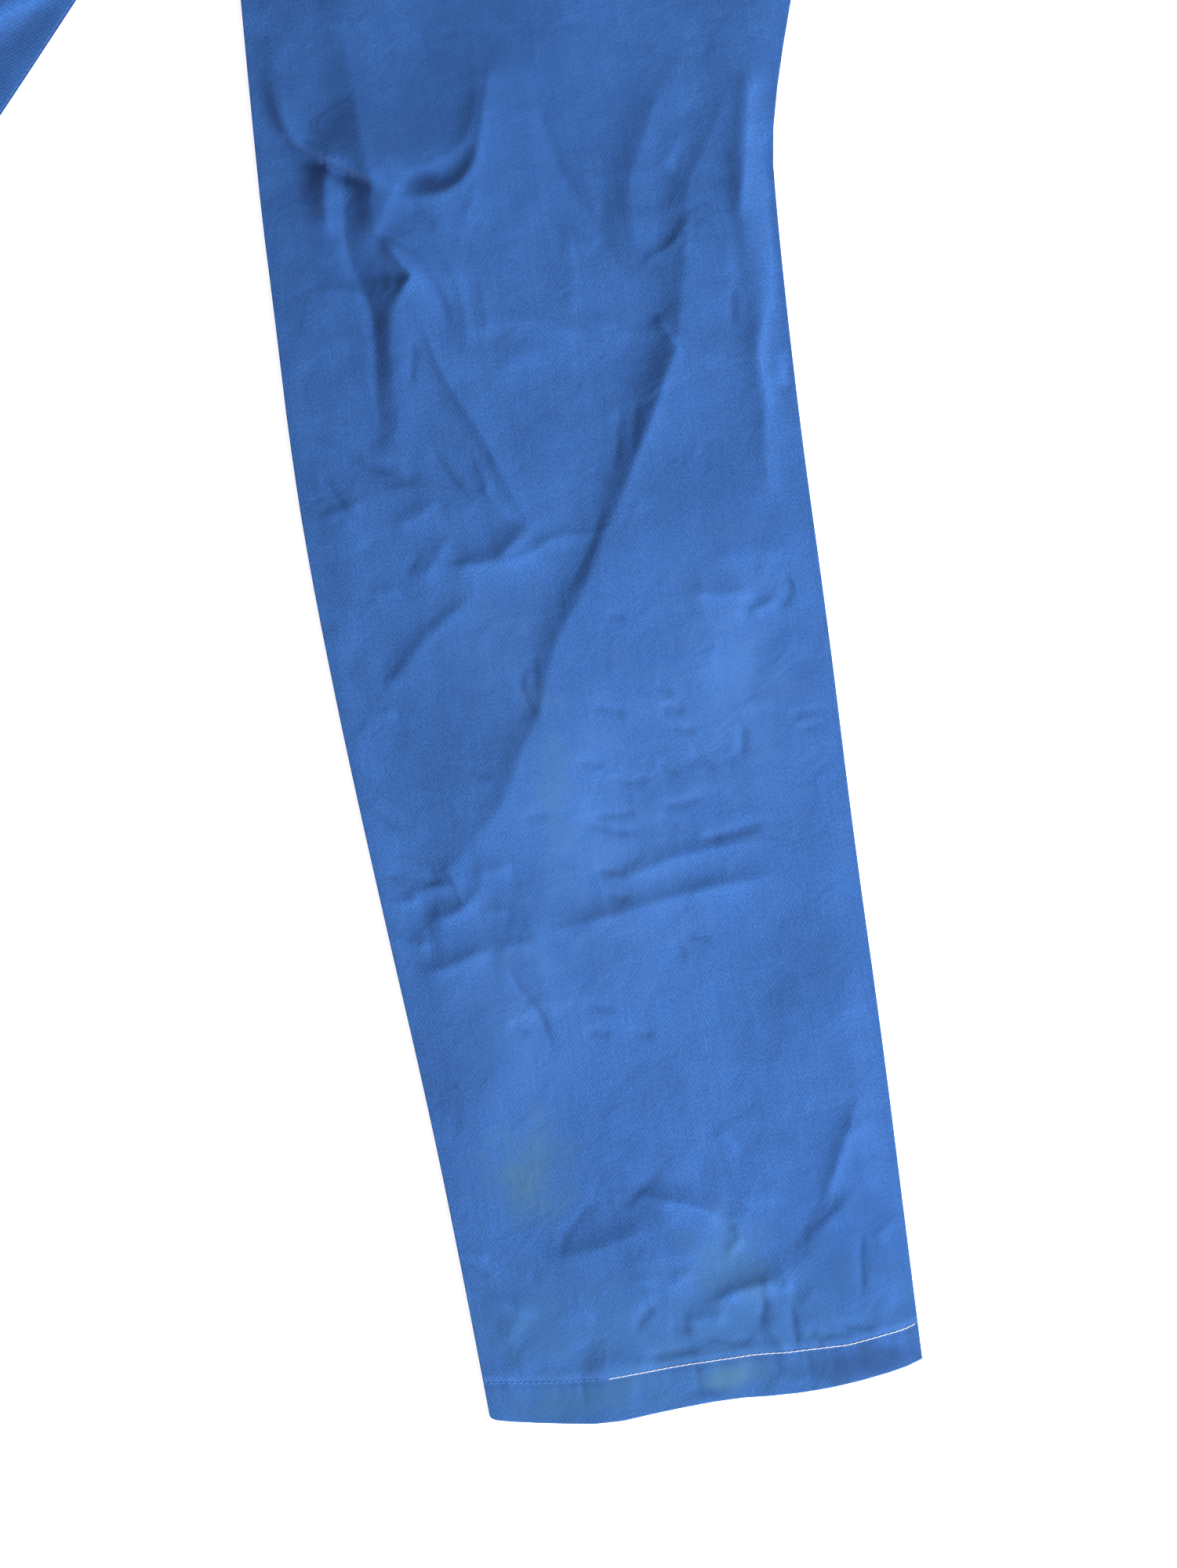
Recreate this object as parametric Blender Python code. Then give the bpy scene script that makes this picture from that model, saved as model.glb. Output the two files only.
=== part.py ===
"""Coveralls of cotton twill, laid flat on the back with the front up.

Metres, +Z up. +Y runs towards the neck and +X towards the wearer's left.
The origin is the middle of the back waistband, on its underside.
"""

import math

import bmesh
import bpy
import numpy as np

# Cloth and seams
WALL = 0.0015
GAP = 0.0003
CROWN = 0.0030
CROWN_REACH = 0.020
CROWN_FLOOR = 0.3
FOLD_FADE = 0.030
FOLD_TAPER = 0.2
BACK_SPREAD = 0.001
CLOTH_ROUGHNESS = 0.88
SHARP_ANGLE = math.radians(40.0)

# Waist and bodice
WAIST_HALF = 0.252
BAND_HALF = 0.020
NECK_FRONT_Y = 0.415
NECK_BACK_Y = 0.478
NECK_HALF = 0.085
NECK_TOP_Y = 0.497
SHOULDER = (0.235, 0.462)
ARMPIT = (0.292, 0.262)
ARMHOLE_DEPTH = 0.020
ARMHOLE_STEPS = 8
SIDE_STEPS = 8
NECK_STEPS = 5
BODICE_COLUMNS = 9
BACK_SHARES = (-0.5, -0.34)
BACK_SLOPE_START = 0.6
BAND_COLUMNS_FRONT = 8
BAND_COLUMNS_BACK = 4

# Sleeves
SLEEVE_TOP_LENGTH = 0.58
SLEEVE_ANGLE = math.radians(50.0)
CUFF_WIDTH = 0.14
SLEEVE_ROWS = 16
FOLD_STEPS = 4

# Legs, each turned outwards about its own hem
LEG_ANGLE = math.radians(22.5)
HEM_CENTRE = (0.414, -1.018)
LEG_SHARE = 0.60
HEM_BLEND = 0.1
LEFT_LEG_GRID = (44, 22)
RIGHT_LEG_GRID = (34, 16)

# Front fly and buttons
PLACKET_HALF = 0.019
PLACKET_TOP = 0.404
PLACKET_END = -0.240
PLACKET_ROWS = 12
PLACKET_COLUMNS = 3
BUTTON_RADIUS = 0.008
BUTTON_HEIGHT = 0.003
BUTTON_RIM = 0.0018
BUTTON_DISH = 0.0007
BUTTON_SIDES = 20
BUTTON_ROUGHNESS = 0.45
BUTTON_PLACES = (0.385, 0.290, 0.195, 0.100, 0.000, -0.100, -0.190)

# Collar
COLLAR_CLEAR = 0.0005
COLLAR_LAYERS = 2 * WALL + GAP
COLLAR_EDGE = 0.0015
COLLAR_TRIM = 0.3
COLLAR_ROLL = 0.003
COLLAR_FALL_SHARES = (-1.0, -0.66, -0.33, -0.10)

# Where the cloth lies smooth: beside the fly, off the waistband, and round the collar
FLY_CLEAR = 0.028
FLY_END_CLEAR = 0.010
BAND_CLEAR = 0.004
COLLAR_LOW_Y = 0.335
COLLAR_WIDE_X = 0.140
CALM_FADE = 0.040
COLLAR_FADE = 0.030

CLOTH_BLUE = "3c6bb7"
BUTTON_BLUE = "24407a"

# Half widths of the leg: height above the hem, inseam side, outseam side.
LEG_WIDTHS = (
    (0.603, 0.127, 0.122),
    (0.553, 0.128, 0.118),
    (0.454, 0.131, 0.114),
    (0.354, 0.127, 0.113),
    (0.253, 0.120, 0.110),
    (0.153, 0.112, 0.109),
    (0.077, 0.108, 0.107),
    (0.000, 0.105, 0.105),
)

# Seat of the leg panel: share of its length, centre edge x and y, side edge x and y.
SEAT_ROWS = (
    (0.00, 0.000, -0.020, 0.252, -0.020),
    (0.15, 0.000, -0.170, 0.280, -0.165),
    (0.30, 0.000, -0.320, 0.289, -0.295),
)

# Wave of the hem edge: place across the leg, drop below the level hem.
HEM_WAVE = ((-0.105, 0.000), (-0.049, 0.009), (0.000, 0.006), (0.045, 0.008), (0.105, 0.001))

# Collar, left half: seam x, seam y, lean in degrees, stand, fall, height of its fold.
COLLAR_ROWS = (
    (0.0148, 0.4163, 32.0, 0.020, 0.086, 0.0050),
    (0.0359, 0.4227, 38.0, 0.020, 0.066, 0.0048),
    (0.0601, 0.4390, 46.0, 0.020, 0.055, 0.0046),
    (0.0770, 0.4623, 57.0, 0.020, 0.052, 0.0044),
    (0.0842, 0.4856, 68.0, 0.020, 0.050, 0.0042),
    (0.0850, 0.4970, 76.0, 0.020, 0.046, 0.0041),
    (0.0800, 0.4948, 45.0, 0.024, 0.006, 0.0038),
    (0.0600, 0.4875, 22.0, 0.029, 0.005, 0.0018),
    (0.0300, 0.4804, 8.0, 0.031, 0.005, 0.0018),
    (0.0000, 0.4780, 0.0, 0.032, 0.005, 0.0018),
)
COLLAR_FRONT_ROWS = 6

# Folds of the legs. A ridge stands up, a trough sinks, and a step is high on the left of its
# route. Columns: kind, half width, height, reach of the high side, then the route as
# (height above the hem, place across) in metres.
LEFT_LEG_FOLDS = (
    ("step", 0.006, 0.0085, 0.050,
     ((0.690, -0.130), (0.640, -0.114), (0.613, -0.095), (0.598, -0.073), (0.575, -0.070))),
    ("step", 0.007, 0.0075, 0.060,
     ((0.640, -0.076), (0.593, -0.073), (0.550, -0.060), (0.524, -0.073), (0.485, -0.076),
      (0.450, -0.092))),
    ("ridge", 0.012, 0.0045, 0.0,
     ((0.574, -0.072), (0.600, -0.051), (0.612, -0.022), (0.650, 0.010))),
    ("trough", 0.010, 0.0030, 0.0,
     ((0.554, -0.056), (0.514, -0.050), (0.478, -0.043), (0.426, -0.024))),
    ("trough", 0.013, 0.0030, 0.0,
     ((0.660, 0.030), (0.600, 0.036), (0.560, 0.040), (0.520, 0.048))),
    ("ridge", 0.013, 0.0045, 0.0,
     ((0.650, 0.085), (0.600, 0.070), (0.560, 0.058), (0.530, 0.050))),
    ("step", 0.008, 0.0060, 0.060,
     ((0.530, 0.068), (0.498, 0.062), (0.458, 0.034), (0.409, 0.008), (0.346, -0.029),
      (0.299, -0.052), (0.268, -0.084))),
    ("ridge", 0.008, 0.0050, 0.0,
     ((0.680, 0.120), (0.593, 0.108), (0.511, 0.094), (0.430, 0.102))),
    ("step", 0.008, 0.0045, 0.045,
     ((0.225, -0.060), (0.236, -0.010), (0.244, 0.048), (0.250, 0.070))),
    ("ridge", 0.010, 0.0040, 0.0, ((0.262, -0.100), (0.262, -0.080), (0.256, -0.062))),
    ("ridge", 0.012, 0.0030, 0.0, ((0.100, -0.060), (0.086, -0.010), (0.090, 0.040))),
    ("ridge", 0.010, 0.0030, 0.0, ((0.036, -0.020), (0.062, 0.032), (0.080, 0.080))),
)
RIGHT_LEG_FOLDS = (
    ("step", 0.009, 0.0090, 0.055,
     ((0.700, -0.125), (0.640, -0.098), (0.590, -0.080), (0.530, -0.084), (0.470, -0.096))),
    ("ridge", 0.014, 0.0050, 0.0, ((0.690, -0.020), (0.600, -0.030), (0.520, -0.010))),
    ("ridge", 0.012, 0.0050, 0.0, ((0.660, 0.080), (0.560, 0.084), (0.450, 0.070))),
    ("step", 0.010, 0.0055, 0.050,
     ((0.470, 0.080), (0.400, 0.030), (0.330, -0.020), (0.290, -0.070))),
    ("ridge", 0.012, 0.0045, 0.0, ((0.250, -0.080), (0.262, -0.010), (0.244, 0.060))),
    ("ridge", 0.012, 0.0035, 0.0, ((0.080, -0.060), (0.100, 0.000), (0.084, 0.070))),
)

# Folds of bodice and sleeves, with the same columns and the route as (x, y).
LEFT_TOP_FOLDS = (
    ("ridge", 0.014, 0.0050, 0.0, ((0.262, 0.280), (0.200, 0.250), (0.120, 0.235))),
    ("ridge", 0.013, 0.0045, 0.0, ((0.230, 0.330), (0.165, 0.310), (0.110, 0.265))),
    ("ridge", 0.014, 0.0045, 0.0, ((0.100, 0.055), (0.130, 0.110), (0.190, 0.170))),
    ("ridge", 0.012, 0.0040, 0.0, ((0.190, 0.050), (0.196, 0.090), (0.220, 0.130))),
    ("ridge", 0.014, 0.0060, 0.0, ((0.300, 0.280), (0.350, 0.262), (0.400, 0.250))),
    ("ridge", 0.012, 0.0055, 0.0, ((0.400, 0.165), (0.450, 0.188), (0.505, 0.190))),
    ("ridge", 0.012, 0.0050, 0.0, ((0.480, 0.100), (0.530, 0.120), (0.585, 0.112))),
)
RIGHT_TOP_FOLDS = (
    ("ridge", 0.014, 0.0050, 0.0, ((0.258, 0.270), (0.210, 0.225), (0.130, 0.190))),
    ("ridge", 0.013, 0.0045, 0.0, ((0.225, 0.360), (0.160, 0.350), (0.100, 0.300))),
    ("ridge", 0.014, 0.0045, 0.0, ((0.080, 0.060), (0.115, 0.100), (0.150, 0.150))),
    ("ridge", 0.012, 0.0040, 0.0, ((0.170, 0.045), (0.185, 0.080), (0.215, 0.110))),
    ("ridge", 0.014, 0.0060, 0.0, ((0.305, 0.300), (0.350, 0.290), (0.390, 0.268))),
    ("ridge", 0.012, 0.0055, 0.0, ((0.385, 0.185), (0.440, 0.195), (0.490, 0.215))),
    ("ridge", 0.012, 0.0050, 0.0, ((0.505, 0.070), (0.555, 0.085), (0.605, 0.085))),
)


def clear_scene():
    for thing in list(bpy.data.objects):
        bpy.data.objects.remove(thing)


def linear(hex_colour):
    """Linear red, green and blue of an sRGB hex colour."""
    shares = [int(hex_colour[k : k + 2], 16) / 255 for k in (0, 2, 4)]
    return [s / 12.92 if s <= 0.04045 else ((s + 0.055) / 1.055) ** 2.4 for s in shares]


def new_material(name, hex_colour, roughness):
    material = bpy.data.materials.new(name)
    material.use_nodes = True
    shader = material.node_tree.nodes["Principled BSDF"]
    shader.inputs["Base Color"].default_value = (*linear(hex_colour), 1.0)
    shader.inputs["Roughness"].default_value = roughness
    shader.inputs["Metallic"].default_value = 0.0
    return material


def smoothstep(value):
    value = np.clip(value, 0.0, 1.0)
    return value * value * (3.0 - 2.0 * value)


def along(route, share):
    """Points at the given shares of a route's length."""
    route = np.asarray(route)
    lengths = np.hypot(*np.diff(route, axis=0).T)
    marks = np.concatenate(([0.0], np.cumsum(lengths))) / lengths.sum()
    return np.stack([np.interp(share, marks, route[:, k]) for k in (0, 1)], axis=-1)


def leg_place(up, out):
    """Point of the left leg from its height above the hem and its place across."""
    up, out = np.asarray(up), np.asarray(out)
    x = HEM_CENTRE[0] - up * math.sin(LEG_ANGLE) + out * math.cos(LEG_ANGLE)
    y = HEM_CENTRE[1] + up * math.cos(LEG_ANGLE) + out * math.sin(LEG_ANGLE)
    return np.stack([x, y], axis=-1)


def leg_own(x, y):
    """Height above the hem and place across the left leg, from a point."""
    dx, dy = x - HEM_CENTRE[0], y - HEM_CENTRE[1]
    up = -dx * math.sin(LEG_ANGLE) + dy * math.cos(LEG_ANGLE)
    out = dx * math.cos(LEG_ANGLE) + dy * math.sin(LEG_ANGLE)
    return up, out


def leg_edges():
    """Shares down the leg panel, with its centre and side edges in x and y."""
    shares = [row[0] for row in SEAT_ROWS]
    inner = [row[1:3] for row in SEAT_ROWS]
    outer = [row[3:5] for row in SEAT_ROWS]
    tallest = LEG_WIDTHS[0][0]
    for up, inseam, outseam in LEG_WIDTHS:
        shares.append(1.0 - LEG_SHARE * up / tallest)
        inner.append(tuple(leg_place(up, -inseam)))
        outer.append(tuple(leg_place(up, outseam)))
    return np.array(shares), np.array(inner), np.array(outer)


def armhole(share):
    """Point of the armhole seam, from the armpit at 0 to the shoulder at 1."""
    share = np.asarray(share)
    start, end = np.array(ARMPIT), np.array(SHOULDER)
    run = end - start
    across = np.array([-run[1], run[0]]) / np.hypot(*run)
    bow = ARMHOLE_DEPTH * 4.0 * share * (1.0 - share)
    return start + share[..., None] * run + bow[..., None] * across


def neckline(share):
    """Point of the front neckline, from its lowest point at 0 to the shoulder at 1."""
    turn = np.asarray(share) * math.pi / 2
    x = NECK_HALF * np.sin(turn)
    y = NECK_TOP_Y - (NECK_TOP_Y - NECK_FRONT_Y) * np.cos(turn)
    return np.stack([x, y], axis=-1)


def cuff_corners():
    """Ends of the cuff, at the sleeve's top fold and at its underarm seam."""
    way = np.array([math.sin(SLEEVE_ANGLE), -math.cos(SLEEVE_ANGLE)])
    top = np.array(SHOULDER) + SLEEVE_TOP_LENGTH * way
    under = top + CUFF_WIDTH * np.array([way[1], -way[0]])
    return top, under


def closed_edges():
    """Routes where front and back are joined or folded, for the left side."""
    _, inner, outer = leg_edges()
    cuff_top, cuff_under = cuff_corners()
    return (
        ((NECK_HALF, NECK_TOP_Y), SHOULDER, tuple(cuff_top)),
        (ARMPIT, tuple(cuff_under)),
        (ARMPIT, (WAIST_HALF, BAND_HALF), *map(tuple, outer)),
        tuple(map(tuple, inner[len(SEAT_ROWS) - 1 :])),
    )


def nearest(x, y, route):
    """Distance to a route, share of its length, and side: 1 on its left, -1 on its right."""
    route = np.asarray(route)
    lengths = np.hypot(*np.diff(route, axis=0).T)
    starts = np.concatenate(([0.0], np.cumsum(lengths)))
    best = np.full(np.shape(x), np.inf)
    share = np.zeros(np.shape(x))
    side = np.ones(np.shape(x))
    for k, length in enumerate(lengths):
        (ax, ay), (bx, by) = route[k], route[k + 1]
        ux, uy = (bx - ax) / length, (by - ay) / length
        run = np.clip((x - ax) * ux + (y - ay) * uy, 0.0, length)
        dx, dy = x - ax - run * ux, y - ay - run * uy
        distance = np.hypot(dx, dy)
        closer = distance < best
        best = np.where(closer, distance, best)
        share = np.where(closer, (starts[k] + run) / starts[-1], share)
        side = np.where(closer, np.where(ux * dy - uy * dx >= 0.0, 1.0, -1.0), side)
    return best, share, side


def fold_height(x, y, folds):
    """Sum of the folds of one table at the given places."""
    total = np.zeros(np.shape(x))
    for kind, width, height, reach, route in folds:
        distance, share, side = nearest(x, y, route)
        ends = smoothstep(np.minimum(share, 1.0 - share) / FOLD_TAPER)
        if kind == "step":
            high = np.maximum(distance * side, 0.0)
            rise = 0.5 * (1.0 + np.tanh(distance * side / width)) * np.exp(-((high / reach) ** 2))
            total += height * ends * rise
        else:
            bump = height * ends * np.exp(-((distance / width) ** 2))
            total += bump if kind == "ridge" else -bump
    return total


CLOSED_EDGES = closed_edges()


def calm(x, y):
    """1 where the cloth may fold, 0 under the fly, the waistband and the collar."""
    beside_fly = smoothstep((x - FLY_CLEAR) / CALM_FADE)
    below_fly = smoothstep((PLACKET_END - FLY_END_CLEAR - y) / CALM_FADE)
    off_band = smoothstep((np.abs(y) - BAND_HALF - BAND_CLEAR) / CALM_FADE)
    below_collar = smoothstep((COLLAR_LOW_Y - y) / CALM_FADE)
    outside_collar = smoothstep((x - COLLAR_WIDE_X) / COLLAR_FADE)
    return np.maximum(beside_fly, below_fly) * off_band * np.maximum(below_collar, outside_collar)


def front_under(x, y):
    """Height of the underside of the front cloth over a place."""
    side = np.abs(x)
    edge = np.full(np.shape(x), np.inf)
    for route in CLOSED_EDGES:
        edge = np.minimum(edge, nearest(side, y, route)[0])
    up, out = leg_own(side, y)
    left = fold_height(up, -out, mirrored(LEFT_LEG_FOLDS)) + fold_height(side, y, LEFT_TOP_FOLDS)
    right = fold_height(up, -out, mirrored(RIGHT_LEG_FOLDS)) + fold_height(side, y, RIGHT_TOP_FOLDS)
    folds = np.where(x >= 0.0, left, right)
    crown = CROWN * (1.0 - np.exp(-edge / CROWN_REACH))
    rise = crown + folds * calm(side, y) * smoothstep(edge / FOLD_FADE)
    return WALL + GAP + np.maximum(rise, CROWN_FLOOR * crown)


def mirrored(folds):
    """The same folds with the place across turned to the other side."""
    return tuple((*fold[:4], tuple((a, -b) for a, b in fold[4])) for fold in folds)


def front_top(x, y):
    return front_under(x, y) + WALL


def solid_cloth(name, under, over, material, collection):
    """Closed wall between two grids of points, one below and one above the cloth."""
    rows, columns = under.shape[:2]
    bm = bmesh.new()
    bmesh.ops.create_grid(bm, x_segments=columns - 1, y_segments=rows - 1, size=0.5)
    grown = bmesh.ops.extrude_face_region(bm, geom=list(bm.faces), use_keep_orig=True)
    upper = {item for item in grown["geom"] if isinstance(item, bmesh.types.BMVert)}
    for vert in bm.verts:
        row = round((vert.co.y + 0.5) * (rows - 1))
        column = round((vert.co.x + 0.5) * (columns - 1))
        vert.co = over[row, column] if vert in upper else under[row, column]
    bmesh.ops.recalc_face_normals(bm, faces=bm.faces)
    if bm.calc_volume(signed=True) < 0.0:
        bmesh.ops.reverse_faces(bm, faces=bm.faces)
    mesh = bpy.data.meshes.new(name)
    bm.to_mesh(mesh)
    bm.free()
    mesh.materials.append(material)
    mesh.shade_smooth()
    mesh.set_sharp_from_angle(angle=SHARP_ANGLE)
    thing = bpy.data.objects.new(name, mesh)
    collection.objects.link(thing)
    return thing


def pull_in(grid, first_row, last_row, first_column, last_column):
    """Grid of x and y with each border moved inwards by its own amount."""
    grid = grid.copy()
    for border, inside, amount in (
        (np.s_[0, :], np.s_[1, :], first_row),
        (np.s_[-1, :], np.s_[-2, :], last_row),
        (np.s_[:, 0], np.s_[:, 1], first_column),
        (np.s_[:, -1], np.s_[:, -2], last_column),
    ):
        way = grid[inside] - grid[border]
        grid[border] += amount * way / np.linalg.norm(way, axis=-1, keepdims=True)
    return grid


def front_wall(plan):
    """Lower and upper points of a front panel over its plan."""
    x, y = plan[..., 0], plan[..., 1]
    under = front_under(x, y)
    return np.dstack([plan, under]), np.dstack([plan, under + WALL])


def back_wall(plan):
    """Lower and upper points of a panel that lies on the surface."""
    flat = np.zeros(plan.shape[:2])
    return np.dstack([plan, flat]), np.dstack([plan, flat + WALL])


def flipped(points, side):
    """Points for the wearer's left, or mirrored for the right."""
    return points * ([side, 1.0] if points.shape[-1] == 2 else [side, 1.0, 1.0])


def ruled(first, last, shares):
    """Grid whose rows run straight between two edges."""
    return first[:, None, :] + shares[None, :, None] * (last - first)[:, None, :]


def leg_plan(rows, columns):
    """Plan of the left leg panel, from the waist to the hem."""
    shares, inner, outer = leg_edges()
    down = np.linspace(0.0, 1.0, rows + 1)
    first = np.stack([np.interp(down, shares, inner[:, k]) for k in (0, 1)], axis=-1)
    last = np.stack([np.interp(down, shares, outer[:, k]) for k in (0, 1)], axis=-1)
    grid = ruled(first, last, np.linspace(0.0, 1.0, columns + 1))
    wave = np.array(HEM_WAVE)
    across = leg_own(grid[..., 0], grid[..., 1])[1]
    near_hem = smoothstep((down[:, None] - 1.0 + HEM_BLEND) / HEM_BLEND)
    drop = np.interp(across, wave[:, 0], wave[:, 1]) * near_hem
    grid[..., 0] += drop * math.sin(LEG_ANGLE)
    grid[..., 1] -= drop * math.cos(LEG_ANGLE)
    return grid


def bodice_front_plan():
    """Plan of the left bodice front, from the waist to the shoulder."""
    rows = SIDE_STEPS + ARMHOLE_STEPS
    side = along(((WAIST_HALF, BAND_HALF), ARMPIT), np.linspace(0.0, 1.0, SIDE_STEPS + 1))
    hole = armhole(np.linspace(0.0, 1.0, ARMHOLE_STEPS + 1))
    outer = np.vstack([side, hole[1:]])
    front_edge = ((0.0, BAND_HALF), (0.0, NECK_FRONT_Y))
    centre = along(front_edge, np.linspace(0.0, 1.0, rows - NECK_STEPS + 1))
    neck = neckline(np.linspace(0.0, 1.0, NECK_STEPS + 1))
    inner = np.vstack([centre, neck[1:]])
    return ruled(inner, outer, np.linspace(0.0, 1.0, BODICE_COLUMNS + 1))


def bodice_back_plan():
    """Plan of the whole bodice back, from the waist to the shoulders and neck."""
    side = along(((WAIST_HALF, BAND_HALF), ARMPIT), np.linspace(0.0, 1.0, SIDE_STEPS + 1))
    hole = armhole(np.linspace(0.0, 1.0, ARMHOLE_STEPS + 1))
    left = np.vstack([side, hole[1:]])
    neck_share = 0.5 * NECK_HALF / SHOULDER[0]
    steps = np.array([*BACK_SHARES, -neck_share, -0.5 * neck_share, 0.0])
    shares = 0.5 + np.concatenate([steps, -steps[-2::-1]])
    grid = ruled(flipped(left, -1.0), left, shares)
    top_x = grid[-1, :, 0]
    dip = NECK_BACK_Y + (NECK_TOP_Y - NECK_BACK_Y) * (top_x / NECK_HALF) ** 2
    slope = np.interp(np.abs(top_x), (NECK_HALF, SHOULDER[0]), (NECK_TOP_Y, SHOULDER[1]))
    rise = np.where(np.abs(top_x) < NECK_HALF - GAP, dip, slope) - grid[-1, :, 1]
    upward = np.linspace(0.0, 1.0, len(left)) - BACK_SLOPE_START
    upward = smoothstep(upward / (1.0 - BACK_SLOPE_START))
    grid[..., 1] += upward[:, None] * rise[None, :]
    return grid


def band_plan(first_x, last_x, columns):
    """Plan of a stretch of the waistband."""
    across = np.linspace(first_x, last_x, columns + 1)
    up = np.array([-BAND_HALF, 0.0, BAND_HALF])
    return np.dstack(np.meshgrid(across, up))


def sleeve_plan():
    """Plan of the left sleeve, from the armhole to the cuff, underarm edge first."""
    down = np.linspace(0.0, 1.0, SLEEVE_ROWS + 1)
    cuff_top, cuff_under = cuff_corners()
    shares = np.linspace(0.0, 1.0, ARMHOLE_STEPS + 1)
    straight = ruled(
        along((ARMPIT, tuple(cuff_under)), down), along((SHOULDER, tuple(cuff_top)), down), shares
    )
    bow = armhole(shares) - straight[0]
    fade = (1.0 - down) ** 3
    return straight + fade[:, None, None] * bow[None, :, :]


def build_sleeve(name, side, material, collection):
    """One-piece sleeve: back layer, fold along its top, and front layer, open at the underarm."""
    plan = pull_in(sleeve_plan(), 0.5 * GAP, 0.0, 0.5 * GAP, 0.0)
    x, y = side * plan[..., 0], plan[..., 1]
    outward = np.array([math.cos(SLEEVE_ANGLE), math.sin(SLEEVE_ANGLE)])
    turns = np.linspace(0.0, math.pi, FOLD_STEPS + 1)[1:-1]
    middle = WALL + 0.5 * GAP
    inner = [np.dstack([plan, np.full(x.shape, WALL)])]
    outer = [np.dstack([plan, np.zeros(x.shape)])]
    edge = plan[:, -1]
    for points, radius in ((inner, 0.5 * GAP), (outer, middle)):
        for turn in turns:
            shifted = edge + radius * math.sin(turn) * outward
            height = np.full((len(edge), 1), middle - radius * math.cos(turn))
            points.append(np.hstack([shifted, height])[:, None, :])
    front = front_under(x, y)
    inner.append(np.dstack([plan, front])[:, ::-1])
    outer.append(np.dstack([plan, front + WALL])[:, ::-1])
    return solid_cloth(
        name, flipped(np.hstack(inner), side), flipped(np.hstack(outer), side), material, collection
    )


def build_collar(material, collection):
    """Turned-down collar: wings on the front, a folded band round the back of the neck."""
    left = np.array(COLLAR_ROWS)
    right = left[:-1].copy()
    right[:, 0] *= -1.0
    right[:, 2] *= -1.0
    rows = np.vstack([left, right[::-1]])
    count = len(rows)
    under, over = [], []
    for number, (px, py, lean, stand, fall, fold_z) in enumerate(rows):
        on_front = min(number, count - 1 - number) < COLLAR_FRONT_ROWS
        way = np.array([-math.sin(math.radians(lean)), math.cos(math.radians(lean))])
        falling = fall * np.array(COLLAR_FALL_SHARES)
        steps = np.array([*falling, COLLAR_ROLL, 0.5 * stand, stand - COLLAR_EDGE, stand])
        places = np.array([px, py]) + steps[:, None] * way
        base = front_top(places[:, 0], places[:, 1]) + COLLAR_CLEAR if on_front else fold_z
        share = smoothstep((steps - COLLAR_ROLL) / (stand - COLLAR_ROLL))
        low = base + share * (fold_z - base)
        thick = np.where(steps > 0.0, COLLAR_LAYERS, WALL)
        trim = np.where(steps >= stand, COLLAR_TRIM * COLLAR_LAYERS, 0.0)
        under.append(np.column_stack([places, low + trim]))
        over.append(np.column_stack([places, low + thick - trim]))
    return solid_cloth("collar", np.array(under), np.array(over), material, collection)


def build_placket(material, collection):
    """Fly strip, laid on the front edges from the neck to the seat."""
    across = np.linspace(-PLACKET_HALF, PLACKET_HALF, PLACKET_COLUMNS + 1)
    up = np.linspace(PLACKET_END, PLACKET_TOP, PLACKET_ROWS + 1)
    plan = np.dstack(np.meshgrid(across, up))
    low = front_top(plan[..., 0], plan[..., 1]) + GAP
    return solid_cloth(
        "placket", np.dstack([plan, low]), np.dstack([plan, low + WALL]), material, collection
    )


def build_button(name, y, material, collection):
    """Round button with a raised rim."""
    bm = bmesh.new()
    bmesh.ops.create_cone(
        bm, cap_ends=True, segments=BUTTON_SIDES, radius1=BUTTON_RADIUS, radius2=BUTTON_RADIUS,
        depth=BUTTON_HEIGHT,
    )
    top = max(bm.faces, key=lambda face: face.calc_center_median().z)
    bmesh.ops.inset_region(bm, faces=[top], thickness=BUTTON_RIM, depth=-BUTTON_DISH)
    mesh = bpy.data.meshes.new(name)
    bm.to_mesh(mesh)
    bm.free()
    mesh.materials.append(material)
    mesh.shade_smooth()
    mesh.set_sharp_from_angle(angle=SHARP_ANGLE)
    thing = bpy.data.objects.new(name, mesh)
    seat = float(front_top(np.array(0.0), np.array(y))) + 2.0 * GAP + WALL
    thing.location = (0.0, y, seat + 0.5 * BUTTON_HEIGHT)
    collection.objects.link(thing)
    return thing


clear_scene()
coveralls = bpy.data.collections.new("coveralls")
bpy.context.scene.collection.children.link(coveralls)

seam = 0.5 * GAP
for word, sign, leg_grid in (("left", 1.0, LEFT_LEG_GRID), ("right", -1.0, RIGHT_LEG_GRID)):
    cloth = new_material("twill_" + word, CLOTH_BLUE, CLOTH_ROUGHNESS)
    leg = pull_in(leg_plan(*leg_grid), seam, 0.0, seam, 0.0)
    solid_cloth("leg_front_" + word, *front_wall(flipped(leg, sign)), cloth, coveralls)
    bodice = pull_in(bodice_front_plan(), seam, 0.0, seam, seam)
    solid_cloth("bodice_front_" + word, *front_wall(flipped(bodice, sign)), cloth, coveralls)
    band = pull_in(band_plan(0.0, WAIST_HALF, BAND_COLUMNS_FRONT), seam, seam, seam, 0.0)
    solid_cloth("waistband_front_" + word, *front_wall(flipped(band, sign)), cloth, coveralls)
    under_leg = pull_in(leg_plan(*RIGHT_LEG_GRID), seam, 0.0, seam, -BACK_SPREAD)
    solid_cloth("leg_back_" + word, *back_wall(flipped(under_leg, sign)), cloth, coveralls)
    build_sleeve("sleeve_" + word, sign, cloth, coveralls)

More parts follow.
